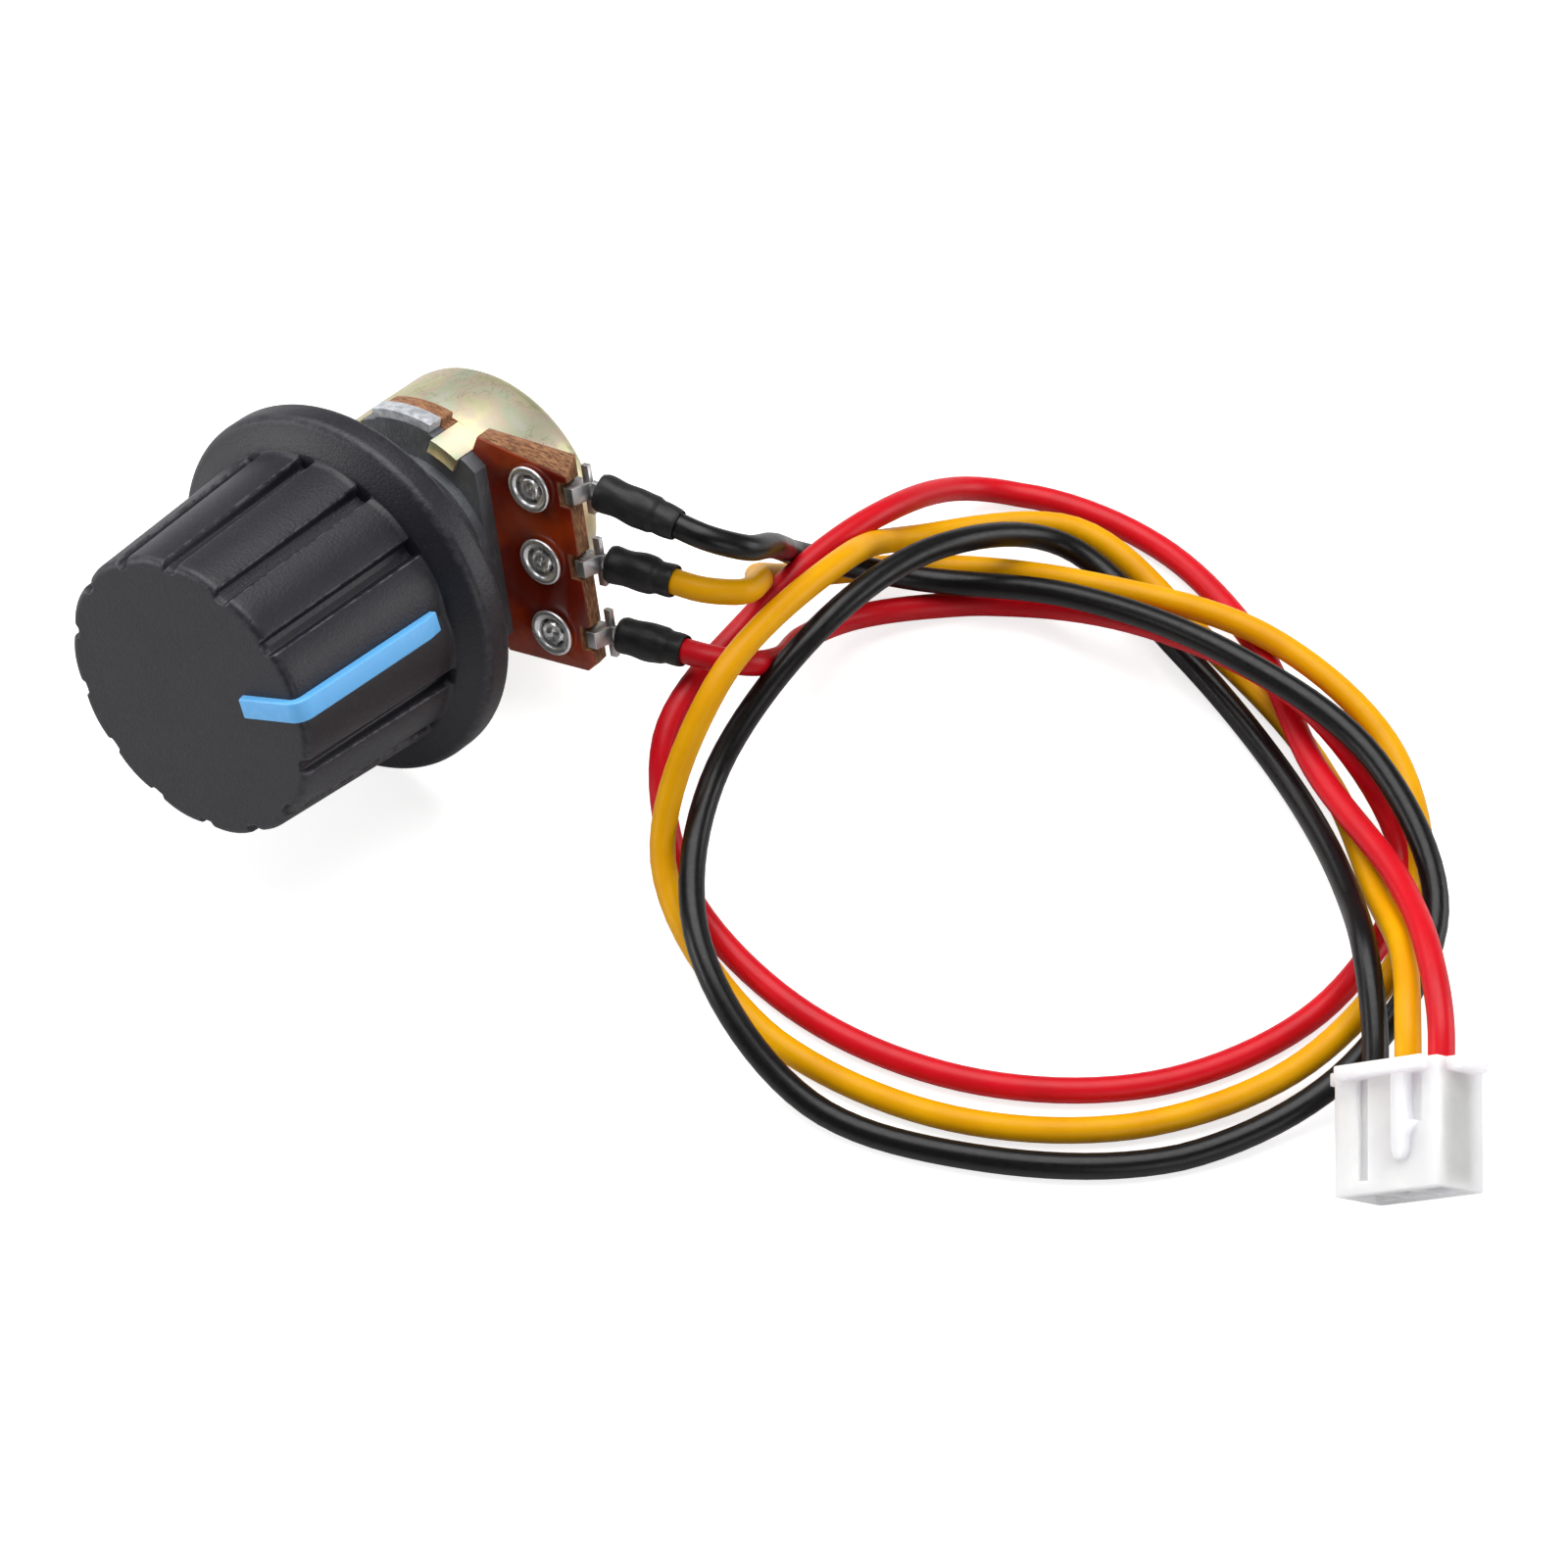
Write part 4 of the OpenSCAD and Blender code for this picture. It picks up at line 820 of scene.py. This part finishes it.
def thread(rows_per_turn=12, around=72):
    """Panel thread: radius is the root plus a rounded triangle wave of z / pitch - angle / turn."""
    z = np.arange(THREAD_START, BUSHING_LEN, THREAD_PITCH / rows_per_turn)
    profile = np.vstack([np.column_stack([np.full(len(z), THREAD_R), z]),
                         np.column_stack([np.full(len(z), THREAD_CORE), z])[::-1]])

    def cut(x, y, z, a):
        wave = np.abs(((z / THREAD_PITCH - a / (2 * math.pi)) % 1) - 0.5) * 2
        crest = np.clip(wave * 1.25 - 0.12, 0, 1)
        fade = np.clip((BUSHING_LEN - z) / RUN_OUT, 0, 1) * np.clip(z / RUN_IN, 0, 1)
        inner = np.hypot(x, y)
        r = np.where(inner > THREAD_ROOT, THREAD_ROOT + (THREAD_R - THREAD_ROOT) * crest * fade, inner)
        return r * np.cos(a), r * np.sin(a), z

    return turned("panel_thread", profile, around, True, cut, dial, 60)


fitted(thread(), plate_cast, "case")

NUT_ACROSS, NUT_LOW, NUT_HIGH = 10.0, 0.5, 2.5
NUT_BORE_R, NUT_CHAMFER_R, NUT_CORNER_R, NUT_FALL = 3.54, 4.9, 5.7, 0.55
WASHER_PROFILE = [[3.54, 0.04], [3.6, 0.0], [5.68, 0.0], [5.75, 0.07], [5.75, 0.4], [5.66, 0.5],
                  [3.62, 0.5], [3.54, 0.42]]


def nut(around=96):
    """Nut: radius of the side is that of a hexagon, half width / cos(angle to the flat), and both
    faces fall away outside the chamfer circle."""
    flat_r = NUT_ACROSS / 2
    middle = (NUT_LOW + NUT_HIGH) / 2
    profile = [[3.7, NUT_LOW], [4.4, NUT_LOW], [NUT_CHAMFER_R, NUT_LOW], [flat_r, NUT_LOW + 0.05],
               [flat_r, NUT_LOW + 0.5], [flat_r, middle], [flat_r, NUT_HIGH - 0.5],
               [flat_r, NUT_HIGH - 0.05], [NUT_CHAMFER_R, NUT_HIGH], [4.4, NUT_HIGH], [3.75, NUT_HIGH],
               [NUT_BORE_R, NUT_HIGH - 0.2], [NUT_BORE_R, middle], [NUT_BORE_R, NUT_LOW + 0.2]]
    side = np.array([[p[0] >= flat_r] for p in profile])

    def hexagon(x, y, z, a):
        r = flat_r / np.cos((a + math.pi / 6) % (math.pi / 3) - math.pi / 6)
        r = np.minimum(r, NUT_CORNER_R)
        fall = np.maximum(0, r - NUT_CHAMFER_R) * NUT_FALL
        return (np.where(side, r * np.cos(a), x), np.where(side, r * np.sin(a), y),
                np.where(side, np.clip(z, NUT_LOW + fall, NUT_HIGH - fall), z))

    return turned("hex_nut", profile, around, True, hexagon, dial, 35)


fitted(nut(), nut_zinc, "case", "mounting_nut", slot="nut_steel")
fitted(turned("round_washer", WASHER_PROFILE, 96, True, smooth_angle=35), washer_zinc, "case",
       "flat_washer", slot="washer_steel")

# Spindle
copied("shaft", "splined_shaft", 0.05, shaft_metal, "spindle", "shaft_metal")
copied("retaining_clip", "snap_ring", 0.06, clip_steel, "spindle", "clip_steel")
copied("rotor", "rotor_disc", 0.1, rotor_skin, "spindle", "rotor_plastic")
copied("wiper", "wiper_sheet", 0.03, wiper_brass, "spindle", "wiper_brass", steps=1)

# Knob
KNOB_TOP, FOOT_Z, KNOB_BACK = 20.7, 8.0, 5.0
FACE_R, FOOT_R, FLANGE_R = 9.3, 10.1, 12.1
EDGE_ROUND, RIM_ROUND, RIM_HIGH = 0.5, 0.7, 6.7
FLANGE_EDGE = [11.52, 7.39]
MOUTH_R, HOLLOW_R, HOLLOW_TOP = 8.6, 7.9, 18.9
BOSS_R, BOSS_END = 4.8, 7.95
BORE_R, BORE_TOP = 3.03, 15.4
FLUTES, FLUTE_W, CROWN = 14, 1.2, 0.2
CUT_FROM_R, CUT_FADE = 8.6, 0.6
# Shares of the grooves' depth at the rounded edge and on the face.
EDGE_CUT, FACE_CUT = 0.2, 0.08
FLUTE_FACE_DEPTH, FLUTE_FOOT_DEPTH, FLUTE_WALL = 0.4, 0.7, 0.24
POINTER_TURN = math.radians(9)


def grip_r(z):
    return FOOT_R + (FACE_R - FOOT_R) * (z - FOOT_Z) / (KNOB_TOP - FOOT_Z)


def line_through(*stops):
    """Profile through the stops. A number between two of them adds that many points on the way."""
    made = []
    for k, stop in enumerate(stops):
        if isinstance(stop, int):
            made += along(stops[k - 1], stops[k + 1], stop)
        else:
            made.append(stop)
    return made


def knob(around=1008):
    """Knob: the outline turned round the shaft, with thirteen square grooves let into the grip and
    the lobes between them slightly crowned. The place of the missing groove holds the pointer."""
    flat_r = FACE_R - EDGE_ROUND
    rim_r = FLANGE_R - RIM_ROUND
    face = [[0, KNOB_TOP], *along([0, KNOB_TOP], [8.1, KNOB_TOP], 5),
            *along([8.1, KNOB_TOP], [flat_r, KNOB_TOP], 2)]
    edge = arc(flat_r, KNOB_TOP - EDGE_ROUND, EDGE_ROUND, 90, 3, 8)
    grip = line_through([FACE_R, KNOB_TOP - EDGE_ROUND], 22, [FOOT_R, FOOT_Z + 0.04])[1:]
    foot = line_through([FOOT_R + 0.03, FOOT_Z], [FOOT_R + 0.12, FOOT_Z - 0.02], 4, FLANGE_EDGE)[:-1]
    rim = (arc(rim_r, RIM_HIGH, RIM_ROUND, 78, 0, 7)
           + arc(rim_r, KNOB_BACK + RIM_ROUND, RIM_ROUND, 0, -90, 8))
    under = [[10.6, KNOB_BACK], [MOUTH_R + 0.25, KNOB_BACK], [MOUTH_R + 0.05, KNOB_BACK + 0.1],
             [MOUTH_R, KNOB_BACK + 0.25]]
    inside = line_through(
        [MOUTH_R, FOOT_Z], 4, [HOLLOW_R, HOLLOW_TOP - 0.2], [HOLLOW_R - 0.2, HOLLOW_TOP],
        [BOSS_R + 0.3, HOLLOW_TOP], [BOSS_R + 0.05, HOLLOW_TOP - 0.2], [BOSS_R, HOLLOW_TOP - 0.5], 5,
        [BOSS_R, BOSS_END + 0.25], [BOSS_R - 0.15, BOSS_END], [BORE_R + 0.27, BOSS_END],
        [BORE_R, BOSS_END + 0.25], 3, [BORE_R, BORE_TOP], [0, BORE_TOP])
    rows = face + edge + grip + foot + rim + under + inside
    p = np.array(rows)
    on_grip = np.zeros(len(rows))
    start = len(face)
    stop = start + len(edge) + len(grip)
    on_grip[start:stop] = np.clip((p[start:stop, 0] - CUT_FROM_R) / CUT_FADE, EDGE_CUT, 1)
    on_grip[start - 1] = FACE_CUT
    depth = np.interp(p[:, 1], [FOOT_Z, KNOB_TOP], [FLUTE_FOOT_DEPTH, FLUTE_FACE_DEPTH])
    gap_angle = 2 * math.pi / FLUTES

    def flute(x, y, z, a):
        place = (a - POINTER_TURN) / gap_angle
        nearest = np.round(place)
        off = np.abs(place - nearest) * gap_angle * FACE_R
        is_pointer = (nearest.astype(int) % FLUTES) == 0
        wall = ease(np.clip((FLUTE_W / 2 - off) / FLUTE_WALL, 0, 1))
        groove = np.where(is_pointer, 0, depth[:, None] * wall)
        crown = CROWN * np.clip(1 - off / (gap_angle * FACE_R / 2), 0, 1) ** 2
        r = np.hypot(x, y)
        down = on_grip[:, None] * (groove + crown)
        scale = np.where(r > 0.01, (r - down) / np.maximum(r, 0.01), 1)
        return x * scale, y * scale, z

    return turned("fluted_knob", rows, around, False, flute, dial, 80)


fitted(knob(), knob_skin, "knob", "knob_body", slot="knob_plastic")


def radial_slab(name, outline, width, angle, edge):
    """Flat piece that stands in a plane through the shaft: outline (r, z), thickness across it."""
    c, s = math.cos(angle), math.sin(angle)

    def stand(p):
        return dial(np.stack([p[:, 0] * c - p[:, 2] * s, p[:, 0] * s + p[:, 2] * c, p[:, 1]], 1))

    return slab(name, outline, width, edge, stand)


POINTER_FOOT, POINTER_SLOPE = FOOT_Z + 1.1, 1.1
POINTER_OUT_R, POINTER_HIGH, POINTER_ROUND = 9.83, 21.2, 1.0
POINTER_SEAT_Z, POINTER_PROUD, POINTER_WIDTH = 19.9, 0.5, 1.3
RIB_OUTLINE, RIB_WIDTH = [[4.6, 9.15], [8.2, 9.15], [7.9, 19.2], [4.6, 19.2]], 0.9
slope_top = [grip_r(POINTER_FOOT + POINTER_SLOPE) + POINTER_PROUD, POINTER_FOOT + POINTER_SLOPE]
corner_z = POINTER_HIGH - POINTER_ROUND
pointer_outline = line_through(
    [4.6, POINTER_SEAT_Z], [8.5, POINTER_SEAT_Z], [grip_r(POINTER_FOOT) - 0.8, POINTER_FOOT],
    [grip_r(POINTER_FOOT) + 0.25, POINTER_FOOT], slope_top, 3, [POINTER_OUT_R, corner_z])[:-1]
pointer_outline += arc(POINTER_OUT_R - POINTER_ROUND, corner_z, POINTER_ROUND, 0, 90, 8)
pointer_outline.append([5.0, POINTER_HIGH])
fitted(radial_slab("blue_pointer", pointer_outline, POINTER_WIDTH, POINTER_TURN, 0.1), pointer_skin,
       "knob", "knob_pointer", slot="pointer_plastic")
for i in range(4):
    rib = radial_slab(f"knob_rib_{i}", RIB_OUTLINE, RIB_WIDTH, (i + 0.5) * math.pi / 2, 0.08)
    fitted(rib, knob_skin, "knob")

# Table and light
TABLE_GLOW = 0.75
table_mesh = bpy.data.meshes.new("white_table")
table_mesh.from_pydata([(-2, -2, 0), (2, -2, 0), (2, 2, 0), (-2, 2, 0)], [], [(0, 1, 2, 3)])
table = bpy.data.objects.new("white_table", table_mesh)
bpy.context.collection.objects.link(table)


def paint_table(tree, own, shader):
    """White light table, with a drift of shade too weak to see as a pattern. Its glow is for the
    camera alone, so that the pieces stand on a plain pale table and aren't lit from below."""
    where = node(tree, "ShaderNodeTexCoord").outputs["Object"]
    cloud = noise(tree, where, 6.0, detail=2.0)
    paint(tree, shader, mix(tree, cloud, (0.58, 0.58, 0.58, 1), (0.62, 0.62, 0.62, 1)))
    seen = node(tree, "ShaderNodeLightPath").outputs["Is Camera Ray"]
    tree.links.new(times(tree, seen, TABLE_GLOW), shader.inputs["Emission Strength"])


table_mesh.materials.append(finish_with("table_white", {
    "Roughness": 0.6, "Emission Color": (1, 1, 1, 1)}, paint_table))

# The sky is white behind the table, and lights the pieces only a little.
SKY_SEEN, SKY_LIGHT = 0.85, 0.15
world = bpy.data.worlds.new("studio")
world.use_nodes = True
sky = world.node_tree
background = sky.nodes["Background"].inputs
background["Color"].default_value = (1, 1, 1, 1)
to_camera = node(sky, "ShaderNodeLightPath").outputs["Is Camera Ray"]
more_seen = times(sky, to_camera, SKY_SEEN - SKY_LIGHT)
sky.links.new(math_node(sky, "ADD", more_seen, SKY_LIGHT), background["Strength"])
bpy.context.scene.world = world
bpy.context.scene.view_settings.view_transform = "Standard"


def softbox(name, place, aim, size, power):
    """Rectangular area light at place, facing aim, both in metres."""
    data = bpy.data.lights.new(name, "AREA")
    data.shape = "RECTANGLE"
    data.size, data.size_y = size
    data.energy = power
    light = bpy.data.objects.new(name, data)
    bpy.context.collection.objects.link(light)
    z = np.asarray(place, float) - np.asarray(aim, float)
    z /= np.linalg.norm(z)
    x = np.cross((0, 0, 1), z)
    x /= np.linalg.norm(x)
    light.matrix_world = pose_matrix(x, np.cross(z, x), z, place)


MIDDLE = (0.03, 0.01, 0.0)
softbox("key_above", (-0.1, 0.12, 0.5), MIDDLE, (0.5, 0.5), 3.7)
softbox("left_front", (-0.42, -0.36, 0.16), MIDDLE, (0.4, 0.3), 1.6)
softbox("left_side", (-0.5, 0.08, 0.3), MIDDLE, (0.4, 0.3), 0.9)
softbox("right_back", (0.42, 0.42, 0.14), MIDDLE, (0.4, 0.25), 1.2)
softbox("right_side", (0.5, -0.22, 0.22), MIDDLE, (0.3, 0.3), 0.6)
